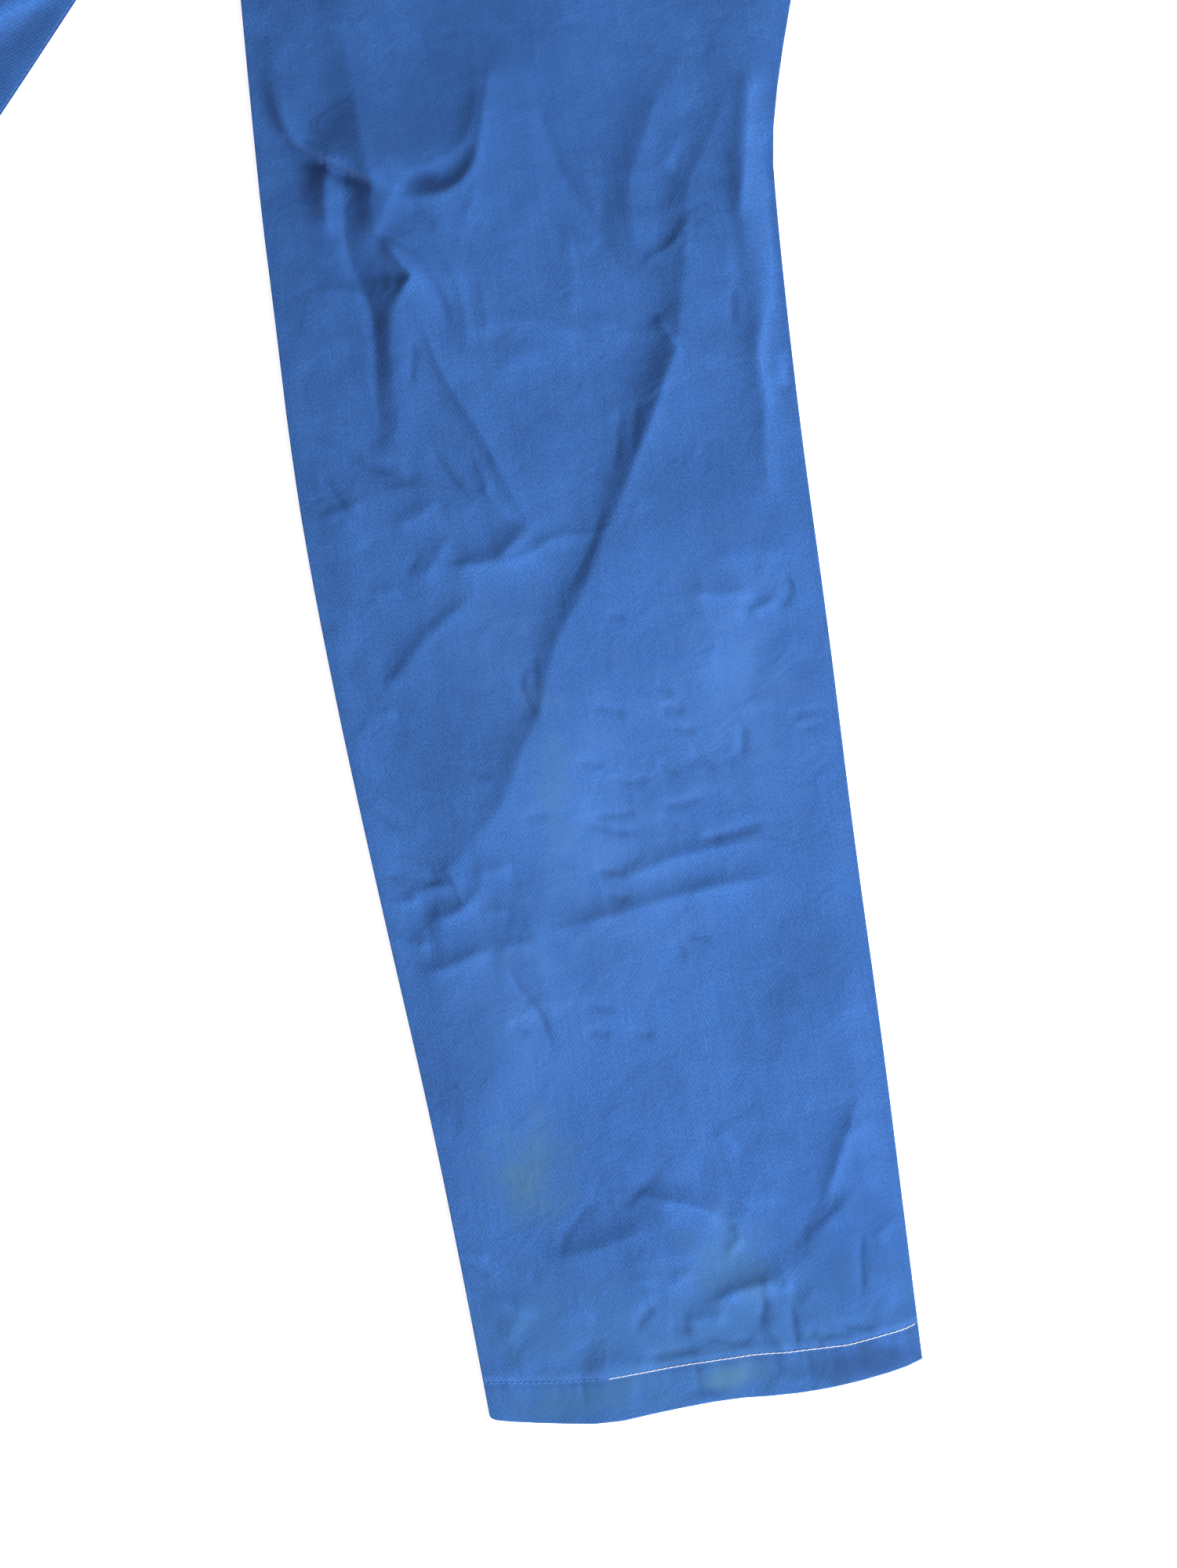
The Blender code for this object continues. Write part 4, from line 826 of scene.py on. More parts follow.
cuff_top, cuff_under = cuff_corners()
leg_centre, leg_side = leg_edges()
CLOSED_EDGES = (
    np.array([(NECK_HALF, NECK_TOP_Y), SHOULDER, cuff_top]),
    np.array([ARMPIT, cuff_under]),
    np.vstack([[ARMPIT, (WAIST_HALF, BAND_HALF)], leg_side[:, 1:]]),
    leg_centre[leg_centre[:, 0] >= SEAT_ROWS[-1][0], 1:],
)
ARMHOLE_ROUTE = armhole(np.linspace(0.0, 1.0, 17))


def front_height(x, y, rise, sewn=(0, 1, 2, 3)):
    """Height of the outer face of the front cloth, on the left side or mirrored from the right.

    rise is what the creases add, and sewn are the closed edges where front meets back.
    """
    away = [nearest(x, y, route)[0] for route in CLOSED_EDGES]
    edge = np.min(away, axis=0)
    crown = CROWN * (1.0 - np.exp(-edge / CROWN_REACH))
    loose = smoothstep((edge - LOOSE[0]) / LOOSE[1])
    height = FRONT + np.maximum(crown + rise * calm(x, y) * loose, LEAST_CROWN * crown)
    seam = np.minimum.reduce([nearest(x, y, ARMHOLE_ROUTE)[0], np.abs(np.abs(y) - BAND_HALF), x])
    height -= rounded(seam, SEAM_DROP, SEAM_ROUND)
    closed = np.min([np.ones(np.shape(x)), *(away[k] for k in sewn)], axis=0)
    return height - rounded(closed, EDGE_DROP, EDGE_ROUND)


# Step past the hem edge and drop below the outer face, as the cloth rolls over.
HEM_ROLL = ((0.0005, 0.0003), (0.0006, 0.0009), (0.0002, 0.0014), (-0.002, WALL))
FLAP_SHARES = (0.25, 0.5, 0.75, 1.0)
HEM_TURNS = len(HEM_ROLL) + len(FLAP_SHARES)


def hemmed(points, inward, depth):
    """Points with rows added that roll the cloth over its last row and back up inside it."""
    way = points[-1] - points[-2]
    way[:, 2] = 0.0
    way /= np.linalg.norm(way, axis=-1, keepdims=True)
    run = np.linalg.norm(points[..., :2] - points[-1:, :, :2], axis=-1)
    rows = []
    flap = [(-share * depth, WALL) for share in FLAP_SHARES]
    for step, sink in [*HEM_ROLL, *flap]:
        row = points[-1] + step * way
        for k in range(points.shape[1]):
            row[k, 2] = np.interp(max(-step, 0.0), run[::-1, k], points[::-1, k, 2])
        rows.append(row + sink * inward)
    return np.vstack([points, rows])


def hem_relief(across, above):
    """Swell above the hem's stitch line, the line drawn in, and puckers of uneven pitch below."""
    relief = 0.0006 * np.exp(-(((above - 0.003) / 0.0035) ** 2))
    relief -= 0.0009 * np.exp(-((above / STITCH_DENT) ** 2))
    for k, place in enumerate(np.arange(-0.098, 0.100, 0.0085)):
        pucker = (across - place - 0.004 * math.sin(2.3 * k)) / (0.0026 + 0.0010 * math.sin(k))
        depth = 0.0005 * (0.5 + 0.5 * math.sin(4.1 * k)) * np.exp(-(pucker**2))
        relief -= depth * np.exp(-(((above + 0.004) / 0.007) ** 2))
    return relief


# Rust-grey stains, grease, cloth bleached by wear, a darker blue that is painted shade over the
# thigh and dirt by the hem, and a deep blue that is painted shade in fold hollows and dirt at the
# hem.
STAIN = "40698c"
GREASE = "2f5a89"
FADE = "4a79bf"
BROAD_SHADE_AND_SOIL = "24508f"
HOLLOW_SHADE_AND_GRIME = "16376c"
left_twill = cotton_twill(
    "cotton_twill_left_leg", 0.0013,
    (
        (FADE, 0.50, -0.010, 0.270, 0.080, 0.120, 1.5),
        (FADE, 0.60, 0.065, 0.335, 0.055, 0.100, 1.5),
        (FADE, 0.45, -0.065, 0.190, 0.045, 0.080, 1.5),
        (FADE, 0.30, -0.050, 0.370, 0.050, 0.060, 1.5),
        # Painted shade: a darker blue over the top of the thigh and beside its big folds.
        (BROAD_SHADE_AND_SOIL, 0.60, 0.000, 0.640, 0.200, 0.150, 1.3),
        (BROAD_SHADE_AND_SOIL, 0.70, -0.085, 0.580, 0.070, 0.110, 1.3),
        # Dirt near the outer end of the hem.
        (BROAD_SHADE_AND_SOIL, 0.70, 0.085, 0.060, 0.065, 0.090, 1.3),
        # Dirt along the hem edge.
        (HOLLOW_SHADE_AND_GRIME, 0.80, 0.075, 0.002, 0.048, 0.012, 0.8),
        (HOLLOW_SHADE_AND_GRIME, 0.60, 0.002, -0.002, 0.014, 0.005, 0.8),
        # Painted shade: deep blue in the hollows under the folds' crests and overhangs.
        (HOLLOW_SHADE_AND_GRIME, 0.60, -0.073, 0.549, 0.004, 0.010, 1.2),
        (HOLLOW_SHADE_AND_GRIME, 0.95, -0.100, 0.603, 0.011, 0.024, 1.2),
        (HOLLOW_SHADE_AND_GRIME, 0.75, -0.079, 0.590, 0.008, 0.018, 1.2),
        (HOLLOW_SHADE_AND_GRIME, 0.60, -0.079, 0.530, 0.007, 0.045, 1.2),
        (HOLLOW_SHADE_AND_GRIME, 0.90, -0.047, 0.594, 0.015, 0.006, 1.2),
        (HOLLOW_SHADE_AND_GRIME, 0.60, -0.088, 0.459, 0.011, 0.006, 1.2),
        (HOLLOW_SHADE_AND_GRIME, 0.40, 0.098, 0.560, 0.005, 0.040, 1.2),
        (STAIN, 0.80, -0.070, 0.115, 0.032, 0.040, 1.3),
        (GREASE, 0.65, 0.000, 0.020, 0.180, 0.070, 1.3),
        (GREASE, 0.60, -0.080, 0.045, 0.040, 0.034, 1.3),
        (STAIN, 0.45, 0.020, 0.060, 0.030, 0.034, 1.3),
        (STAIN, 0.80, 0.014, 0.004, 0.020, 0.010, 0.9),
        (GREASE, 0.80, -0.060, 0.004, 0.060, 0.012, 0.9),
        (STAIN, 0.35, -0.030, 0.300, 0.014, 0.080, 1.4),
    ),
)
right_twill = cotton_twill(
    "cotton_twill_right_leg", 0.0008,
    (
        (FADE, 0.38, 0.000, 0.290, 0.060, 0.090, 1.0),
        # Painted shade: a darker blue over the top of the thigh.
        (BROAD_SHADE_AND_SOIL, 0.30, -0.040, 0.590, 0.100, 0.150, 1.0),
        (STAIN, 0.26, 0.040, 0.060, 0.030, 0.022, 0.8),
    ),
)

# Rows of the seat, rows of the leg and columns. The leg that shows is the finer one.
LEG_DETAIL = {"left": (44, 396, 190), "right": (44, 240, 120)}
THIGH_SHARE = 1.0 - LEG_SHARE * 0.64 / LEG_LENGTH
leg_fronts = {}
for word, side, material in (("left", 1.0, left_twill), ("right", -1.0, right_twill)):
    seat_rows, leg_rows, columns = LEG_DETAIL[word]
    down = np.concatenate([
        between(0.0, THIGH_SHARE, seat_rows, 0.0004, 0.001)[:-1],
        between(THIGH_SHARE, 1.0, leg_rows, 0.0003, 0.0008),
    ])
    across = between(0.0, 1.0, columns, 0.0012, 0.0028)
    plan = pull_in(leg_plan(down, across), SEAM_GAP, 0.0, SEAM_GAP, 0.0)
    x, y = plan[..., 0], plan[..., 1]
    leg_across, leg_up = leg_own(x, y)
    leg_creases = LEFT_LEG_CREASES if side > 0.0 else RIGHT_LEG_CREASES
    rise = crease_height(leg_across, leg_up, leg_creases)
    rise += crease_height(x, y, SEAT_CREASES[side]) + lie(side * x, y)
    height = front_height(x, y, rise)
    above = leg_up - np.interp(leg_across, *np.array(HEM_STITCHES).T)
    height += hem_relief(leg_across, above)
    points = hemmed(np.dstack([plan, height]), np.array([0.0, 0.0, -1.0]), HEM_DEPTH)
    grain = np.dstack(leg_own(points[..., 0], points[..., 1]))
    leg_front = cloth_shell(
        "front_leg_" + word, points, grain, material, side, skip=4, turned=HEM_TURNS, rise=rise
    )
    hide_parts("leg_front_" + word)
    leg_fronts[word] = leg_front


# Hem stitching.
# One row of lockstitch holds each hem. On the left leg most of it was sewn again in white
# cotton thread, and the rest is the blue polyester thread of the making.

STITCH_PITCH = 0.0029
STITCH_SHARE = 0.40
TIGHT_SHARE = 0.54
STITCH_SLANT = 0.00012
THREAD_HALF = 0.00032
WHITE_START = -0.046


def thread(name, hex_colour):
    """Spun sewing thread: matt, with a slight twist that catches the light."""
    material = bpy.data.materials.new(name)
    material.use_nodes = True
    tree = material.node_tree
    shader = tree.nodes["Principled BSDF"]
    shader.inputs["Base Color"].default_value = linear(hex_colour)
    shader.inputs["Roughness"].default_value = 0.7
    place = add_node(tree, "ShaderNodeTexCoord").outputs["Object"]
    fibre = add_node(
        tree, "ShaderNodeTexNoise", {"Scale": 4000.0, "Detail": 1.0}, {"Vector": place}
    )
    bump = add_node(
        tree, "ShaderNodeBump", {"Strength": 0.5, "Distance": 0.0001},
        {"Height": fibre.outputs["Fac"]},
    )
    tree.links.new(bump.outputs["Normal"], shader.inputs["Normal"])
    return material


def stitches(name, ends, material, upward=1.0):
    """Joined stitches, one between each pair of ends, half sunk into the cloth."""
    bpy.ops.object.select_all(action="DESELECT")
    bpy.ops.mesh.primitive_uv_sphere_add(segments=6, ring_count=4, radius=1.0)
    pattern = bpy.context.object
    shape = np.array([v.co for v in pattern.data.vertices])
    corners = [tuple(face.vertices) for face in pattern.data.polygons]
    bpy.data.objects.remove(pattern)
    places, faces = [], []
    for number, (start, end) in enumerate(ends):
        run = end - start
        sideways = np.array([-run[1], run[0], 0.0]) / math.hypot(run[0], run[1])
        rise = np.array([0.0, 0.0, THREAD_HALF * upward])
        centre = 0.5 * (start + end) + 0.4 * rise
        bow = shape[:, 2:] * 0.55 * run + shape[:, :1] * THREAD_HALF * sideways * upward
        places.append(centre + bow + shape[:, 1:2] * 0.8 * rise)
        faces += [tuple(number * len(shape) + k for k in corner) for corner in corners]
    mesh = bpy.data.meshes.new(name)
    mesh.from_pydata(np.vstack(places).tolist(), [], faces)
    mesh.materials.append(material)
    mesh.shade_smooth()
    thing = bpy.data.objects.new(name, mesh)
    bpy.context.scene.collection.objects.link(thing)
    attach(thing, "root")
    return thing


def lockstitch(name, cloth, route, material, upward=1.0, share=STITCH_SHARE):
    """A row of stitches along a route in x and y, dropped on the cloth's mesh."""
    bpy.context.view_layer.update()
    marks = np.concatenate(([0.0], np.cumsum(np.hypot(*np.diff(route, axis=0).T))))
    ends = []
    for middle in np.arange(0.5 * STITCH_PITCH, marks[-1], STITCH_PITCH):
        pair = []
        for end in (-1.0, 1.0):
            step = end * share * STITCH_PITCH
            x, y = (float(np.interp(middle + step, marks, route[:, k])) for k in (0, 1))
            y += end * STITCH_SLANT
            hit, place, _, _ = cloth.ray_cast((x, y, upward), (0.0, 0.0, -upward))
            if hit:
                pair.append(np.array(place))
        if len(pair) == 2:
            ends.append(pair)
    return stitches(name, np.array(ends), material, upward)


white_thread = thread("white_cotton_thread", "c6c9dc")
blue_thread = thread("blue_polyester_thread", "3f6fb8")
stitch_line = np.array(HEM_STITCHES)
steps = np.arange(-0.104, 0.1045, 0.002)
levels = np.interp(steps, *stitch_line.T)
hem_route = np.column_stack(leg_place(steps, levels))
white = steps >= WHITE_START
mirror = np.array([-1.0, 1.0])
hem_seams = {
    "left": [
        lockstitch(
            "hem_stitch_left_white", leg_fronts["left"], hem_route[white], white_thread,
            share=TIGHT_SHARE,
        ),
        lockstitch("hem_stitch_left_blue", leg_fronts["left"], hem_route[~white], blue_thread),
    ],
    "right": [lockstitch("hem_stitch_right", leg_fronts["right"], hem_route * mirror, blue_thread)],
}


# Back of the bodice.
# One piece of twill from the waist seam to the shoulders, lying flat on the surface.
# Its side seams and armholes are felled, and its neck edge goes into the collar.

NECK_BACK_Y = 0.478
TOP_SHARE = 0.6


def side_and_armhole(up):
    """Outer edge of the bodice, from the waist at 0 over the armpit at 0.5 to the shoulder."""
    waist, armpit = np.array([WAIST_HALF, BAND_HALF]), np.array(ARMPIT)
    straight = waist + np.clip(2.0 * up, 0.0, 1.0)[:, None] * (armpit - waist)
    return np.where(up[:, None] <= 0.5, straight, armhole(np.clip(2.0 * up - 1.0, 0.0, 1.0)))


up = between(0.0, 1.0, 60, 0.001, 0.003)
left = side_and_armhole(up)
neck_share = 0.5 * NECK_HALF / SHOULDER[0]
across = between(0.0, 1.0, 80, 0.002, 0.005)
across = np.unique(np.append(across, [0.5 - neck_share, 0.5 + neck_share]))
plan = ruled(left * mirror, left, across)
top_x = np.abs(plan[-1, :, 0])
dip = NECK_BACK_Y + (NECK_TOP_Y - NECK_BACK_Y) * (top_x / NECK_HALF) ** 2
slope = np.interp(top_x, (NECK_HALF, SHOULDER[0]), (NECK_TOP_Y, SHOULDER[1]))
rise = np.where(top_x < NECK_HALF, dip, slope) - plan[-1, :, 1]
plan[..., 1] += smoothstep((up - TOP_SHARE) / (1.0 - TOP_SHARE))[:, None] * rise
plan = pull_in(plan, SEAM_GAP - SEAM_OFFSET, 0.0, SEAM_GAP, SEAM_GAP)
points = np.dstack([plan, np.zeros(plan.shape[:2])])
bodice_back = cloth_shell("back_bodice", points, plan, back_twill)
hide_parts("bodice_back")


# Fronts of the bodice.
# Two pieces of twill from the waist seam to the shoulders, with a scooped neck edge.
# Their front edges meet under the fly strip, and they lie on the back with loose creases.

NECK_SHARE = 5.0 / 16.0
NECK_FRONT_Y = 0.415

# Creases of each front and sleeve, with the same columns as the legs', as (x, y) of the left side.
TOP_CREASES = {
    1.0: (
        (5.0, 16.0, 9.0, 0.2, 0.2, ((266, 284), (236, 262), (200, 250), (120, 235))),
        (4.5, 14.0, 8.0, 0.2, 0.1, ((232, 332), (200, 326), (165, 310), (110, 265))),
        (4.5, 9.0, 14.0, 0.1, 0.1, ((98, 50), (112, 84), (130, 110), (192, 172))),
        (4.0, 9.0, 12.0, 0.4, 0.1, ((190, 44), (192, 70), (198, 92), (222, 132))),
        (6.0, 8.0, 15.0, 0.3, 0.1, ((292, 286), (326, 266), (350, 262), (404, 248))),
        (5.5, 13.0, 7.0, 0.3, 0.1, ((396, 158), (424, 176), (450, 188), (508, 190))),
        (5.0, 12.0, 7.0, 0.3, 0.1, ((474, 94), (500, 110), (530, 120), (588, 112))),
        (-2.2, 5.0, 4.0, 0.4, 0.0, ((270, 268), (232, 252), (196, 262))),
        (-1.8, 4.0, 4.0, 0.3, 0.0, ((258, 240), (220, 226), (174, 232))),
        (-2.0, 5.0, 6.0, 0.0, 0.0, ((58, 304), (96, 262), (142, 236))),
        (1.8, 7.0, 5.0, 0.0, 0.0, ((48, 250), (86, 214), (132, 190))),
        (-1.6, 4.0, 4.0, 0.0, 0.0, ((68, 190), (110, 160), (152, 150))),
        (-2.4, 6.0, 5.0, 0.8, 0.0, ((60, 20), (56, 70), (44, 160))),
        (1.8, 6.0, 6.0, 0.8, 0.0, ((86, 20), (90, 70), (84, 132))),
        (-2.0, 4.0, 5.0, 0.8, 0.0, ((118, 20), (122, 60), (140, 98))),
        (1.8, 5.0, 4.0, 0.8, 0.0, ((152, 20), (158, 58), (178, 88))),
        (-1.8, 4.0, 4.0, 0.8, 0.0, ((176, 20), (180, 52), (192, 84))),
        (1.8, 5.0, 5.0, 0.8, 0.0, ((212, 20), (216, 60), (232, 112))),
        (-1.8, 4.0, 4.0, 0.6, 0.0, ((232, 24), (238, 80), (254, 134))),
        (-1.4, 4.0, 4.0, 0.0, 0.0, ((148, 330), (180, 300), (216, 290))),
        (1.5, 6.0, 4.0, 0.0, 0.0, ((150, 402), (176, 372), (214, 360))),
        (-1.4, 4.0, 3.0, 0.0, 0.0, ((160, 424), (186, 402), (224, 410))),
        (-1.6, 4.0, 4.0, 0.0, 0.0, ((158, 210), (196, 196), (240, 204))),
        (-2.4, 4.0, 6.0, 0.0, 0.1, ((326, 334), (370, 300), (402, 260))),
        (-2.0, 3.0, 4.0, 0.0, 0.0, ((418, 292), (430, 262), (432, 230))),
        (2.0, 4.0, 3.0, 0.0, 0.0, ((438, 302), (452, 268), (452, 234))),
        (-2.2, 4.0, 4.0, 0.3, 0.0, ((388, 204), (430, 214), (464, 206))),
        (-1.8, 3.0, 4.0, 0.0, 0.0, ((418, 180), (452, 174), (488, 182))),
        (2.2, 6.0, 4.0, 0.0, 0.0, ((498, 238), (520, 200), (534, 164))),
        (-2.0, 4.0, 5.0, 0.0, 0.0, ((510, 228), (534, 196), (548, 158))),
        (-1.6, 3.0, 3.0, 0.0, 0.0, ((558, 192), (580, 160), (592, 126))),
        (-1.4, 3.0, 3.0, 0.0, 0.0, ((600, 142), (616, 110), (610, 78))),
        (-1.2, 3.0, 3.0, 0.0, 0.0, ((556, 60), (590, 62), (620, 46))),
        (1.6, 6.0, 4.0, 0.0, 0.0, ((350, 374), (400, 330), (452, 288))),
        (-1.5, 3.0, 3.0, 0.2, 0.0, ((292, 386), (330, 350), (354, 316))),
        (-1.2, 3.0, 3.0, 0.0, 0.0, ((478, 152), (500, 130), (522, 94))),
    ),
    -1.0: (
        (5.0, 15.0, 9.0, 0.2, 0.1, ((262, 274), (236, 246), (210, 225), (130, 190))),
        (4.5, 14.0, 8.0, 0.2, 0.1, ((228, 362), (194, 360), (160, 350), (100, 300))),
        (4.5, 9.0, 14.0, 0.2, 0.1, ((78, 52), (98, 80), (115, 100), (152, 154))),
        (4.0, 8.0, 12.0, 0.4, 0.1, ((168, 40), (176, 60), (185, 80), (218, 114))),
        (6.0, 8.0, 15.0, 0.3, 0.1, ((298, 304), (324, 296), (350, 290), (394, 266))),
        (5.5, 13.0, 7.0, 0.3, 0.1, ((380, 180), (410, 188), (440, 195), (494, 218))),
        (5.0, 12.0, 7.0, 0.3, 0.1, ((500, 66), (528, 78), (555, 85), (610, 84))),
        (-2.2, 5.0, 4.0, 0.4, 0.0, ((272, 258), (240, 228), (206, 210))),
        (-1.8, 4.0, 4.0, 0.0, 0.0, ((60, 280), (98, 250), (150, 240))),
        (-1.8, 4.0, 5.0, 0.0, 0.0, ((52, 210), (94, 190), (128, 150))),
        (-2.4, 6.0, 5.0, 0.8, 0.0, ((52, 20), (50, 80), (60, 150))),
        (1.8, 6.0, 6.0, 0.8, 0.0, ((106, 20), (104, 60), (116, 104))),
        (-2.0, 4.0, 5.0, 0.8, 0.0, ((134, 20), (140, 70), (150, 118))),
        (1.8, 5.0, 4.0, 0.8, 0.0, ((156, 20), (160, 56), (170, 92))),
        (-1.8, 4.0, 4.0, 0.8, 0.0, ((204, 20), (206, 60), (226, 110))),
        (1.6, 5.0, 5.0, 0.8, 0.0, ((228, 20), (236, 70), (250, 120))),
        (-1.5, 4.0, 4.0, 0.0, 0.0, ((150, 402), (184, 380), (220, 384))),
        (-1.6, 4.0, 4.0, 0.0, 0.0, ((158, 300), (190, 290), (236, 300))),
        (-1.6, 4.0, 4.0, 0.0, 0.0, ((170, 178), (206, 170), (246, 182))),
        (-2.2, 4.0, 6.0, 0.0, 0.1, ((300, 352), (346, 326), (386, 300))),
        (-2.0, 3.0, 4.0, 0.0, 0.0, ((404, 304), (420, 268), (418, 234))),
        (2.0, 4.0, 3.0, 0.0, 0.0, ((424, 308), (440, 270), (440, 240))),
        (-2.2, 4.0, 4.0, 0.3, 0.0, ((372, 222), (412, 226), (448, 222))),
        (2.0, 6.0, 4.0, 0.0, 0.0, ((480, 258), (500, 216), (510, 176))),
        (-1.8, 4.0, 5.0, 0.0, 0.0, ((494, 244), (516, 206), (526, 168))),
        (-1.6, 3.0, 3.0, 0.0, 0.0, ((540, 204), (560, 170), (566, 136))),
        (-1.4, 3.0, 3.0, 0.0, 0.0, ((588, 158), (604, 124), (600, 96))),
        (-1.3, 3.0, 3.0, 0.0, 0.0, ((470, 148), (500, 140), (532, 148))),
        (1.6, 6.0, 4.0, 0.0, 0.0, ((336, 388), (386, 344), (430, 300))),
        (-1.2, 3.0, 3.0, 0.0, 0.0, ((556, 40), (586, 46), (612, 36))),
    ),
}


body_twill = cotton_twill(
    "cotton_twill_bodice", 0.0008,
    ((FADE, 0.22, 0.110, 0.300, 0.080, 0.090, 1.0), (FADE, 0.22, -0.110, 0.300, 0.080, 0.090, 1.0)),
)


def top_rise(x, y, side):
    """What the creases of bodice and sleeves add to the height of the cloth."""
    return crease_height(x, y, TOP_CREASES[side]) + lie(side * x, y)


up = between(0.0, 1.0, 220, 0.0008, 0.002)
across = between(0.0, 1.0, 120, 0.002, 0.004)
centre_up = np.clip(up / (1.0 - NECK_SHARE), 0.0, 1.0)
turn = np.clip((up - 1.0 + NECK_SHARE) / NECK_SHARE, 0.0, 1.0) * math.pi / 2.0
front_x = NECK_HALF * np.sin(turn)
front_y = np.where(
    turn > 0.0,
    NECK_TOP_Y - (NECK_TOP_Y - NECK_FRONT_Y) * np.cos(turn),
    BAND_HALF + centre_up * (NECK_FRONT_Y - BAND_HALF),
)
plan = ruled(np.column_stack([front_x, front_y]), side_and_armhole(up), across)
plan = pull_in(plan, SEAM_GAP, 0.0, SEAM_GAP, SEAM_GAP)
for word, side in (("left", 1.0), ("right", -1.0)):
    x, y = plan[..., 0], plan[..., 1]
    rise = top_rise(x, y, side)
    points = np.dstack([plan, front_height(x, y, rise)])[::-1]
    bodice_front = cloth_shell(
        "front_bodice_" + word, points, points[..., :2], body_twill, side, skip=4, rise=rise[::-1]
    )
    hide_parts("bodice_front_" + word)


# Waistband.
# A band of doubled twill, 40 mm deep, sewn between bodice and legs all round.
# Its front halves end under the fly strip, and both its edges are stitched down.

BAND_RISE = 0.0005
BAND_CLOTH = 0.0012
BAND_SEW = 0.0165
RIPPLE = 0.00025


def band_plan(first_x, last_x, columns, rows):
    """Plan of a stretch of the waistband."""
    across = between(first_x, last_x, columns, 0.0006, 0.0014, 0.003)
    up = between(-BAND_HALF, BAND_HALF, rows, 0.0004, 0.001)
    plan = np.dstack(np.meshgrid(across, up))
    return pull_in(plan, SEAM_GAP, SEAM_GAP, 0.0, 0.0)


plan = band_plan(-WAIST_HALF - BACK_SPREAD, WAIST_HALF + BACK_SPREAD, 60, 6)
plan[..., 1] -= SEAM_OFFSET
points = np.dstack([plan, np.zeros(plan.shape[:2])])
band_back = cloth_shell("back_waistband", points, plan, back_twill, thickness=BAND_CLOTH)
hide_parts("waistband_back")
plan = band_plan(0.5 * SEAM_GAP, WAIST_HALF, 90, 16)
for word, side in (("left", 1.0), ("right", -1.0)):
    x, y = plan[..., 0], plan[..., 1]
    height = front_height(x, y, np.zeros(x.shape))
    off_edge = smoothstep((BAND_HALF - np.abs(y)) / 0.0015) * smoothstep((WAIST_HALF - x) / 0.004)
    height += BAND_RISE * off_edge
    ripple = np.sin(2.0 * math.pi * x / 0.0140 + 2.0 * np.sin(x / 0.031) + side)
    height += RIPPLE * ripple * np.exp(-(((np.abs(y) - 0.016) / 0.005) ** 2))
    points = np.dstack([plan, height])[::-1]
    band = cloth_shell("front_waistband_" + word, points, points[..., :2], body_twill, side)
    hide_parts("waistband_front_" + word)
    rows = [
        lockstitch(
            "waistband_stitch_" + edge + "_" + word, band,
            np.column_stack([side * np.linspace(0.021, 0.250, 80), np.full(80, level)]), blue_thread,
        )
        for edge, level in (("upper", BAND_SEW), ("lower", -BAND_SEW))
    ]


# Sleeves.
# One piece of twill each, folded along the top of the arm and sewn along the underarm.
# The cuff is a plain hem, turned in 20 mm and stitched.

CUFF_HEM = 0.020
CUFF_DENT = 0.0008
FOLD_STEPS = 7

sleeve_twill = cotton_twill(
    "cotton_twill_sleeve", 0.0008,
    ((FADE, 0.26, 0.440, 0.240, 0.060, 0.060, 1.0), (FADE, 0.26, -0.440, 0.240, 0.060, 0.060, 1.0)),
)

down = between(0.0, 1.0, 190, 0.0006, 0.0015, 0.003)
shares = between(0.0, 1.0, 62, 0.002, 0.005, 0.010, 0.018)
under_edge = np.array(ARMPIT) + down[:, None] * (cuff_under - np.array(ARMPIT))
top_edge = np.array(SHOULDER) + down[:, None] * (cuff_top - np.array(SHOULDER))
plan = ruled(under_edge, top_edge, shares)
plan += ((1.0 - down) ** 3)[:, None, None] * (armhole(shares) - plan[0])[None, :, :]
plan = pull_in(plan, SEAM_GAP, 0.0, SEAM_GAP, 0.0)
outward = np.array([math.cos(SLEEVE_ANGLE), math.sin(SLEEVE_ANGLE)])
sleeve_way = np.array([math.sin(SLEEVE_ANGLE), -math.cos(SLEEVE_ANGLE)])
mid_height = 0.5 * FRONT
turns = np.linspace(0.0, math.pi, FOLD_STEPS + 2)[1:-1]
for word, side in (("left", 1.0), ("right", -1.0)):
    x, y = plan[..., 0], plan[..., 1]
    height = front_height(x, y, top_rise(x, y, side), sewn=(1, 2))
    to_cuff = (1.0 - down)[:, None] * SLEEVE_TOP_LENGTH
    height -= CUFF_DENT * np.exp(-(((to_cuff - CUFF_HEM) / STITCH_DENT) ** 2))
    back_columns = slice(None, None, 3)
    layers = [np.dstack([plan, np.zeros(x.shape)])[:, back_columns]]
    inward = [np.tile([0.0, 0.0, 1.0], (layers[0].shape[1], 1))]
    for turn in turns:
        shifted = plan[:, -1] + mid_height * math.sin(turn) * outward
        level = np.full((len(down), 1), mid_height - mid_height * math.cos(turn))
        layers.append(np.hstack([shifted, level])[:, None, :])
        inward.append(np.array([[*(-math.sin(turn) * outward), math.cos(turn)]]))
    layers.append(np.dstack([plan, height])[:, ::-1])
    inward.append(np.tile([0.0, 0.0, -1.0], (len(shares), 1)))
    points = hemmed(np.hstack(layers), np.vstack(inward), CUFF_HEM)
    along = points[..., :2] @ sleeve_way
    girth = np.cumsum(
        np.linalg.norm(np.diff(points, axis=1, prepend=points[:, :1]), axis=-1), axis=1
    )
    grain = np.dstack([girth, -along])
    sleeve = cloth_shell("sleeve_cloth_" + word, points[::-1], grain[::-1], sleeve_twill, side)
    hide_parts("sleeve_" + word)
    start, end = cuff_under - CUFF_HEM * sleeve_way, cuff_top - CUFF_HEM * sleeve_way
    line = np.linspace(start, end, 40) * (side, 1.0)
    cuff_row = lockstitch("cuff_stitch_" + word, sleeve, line, blue_thread)


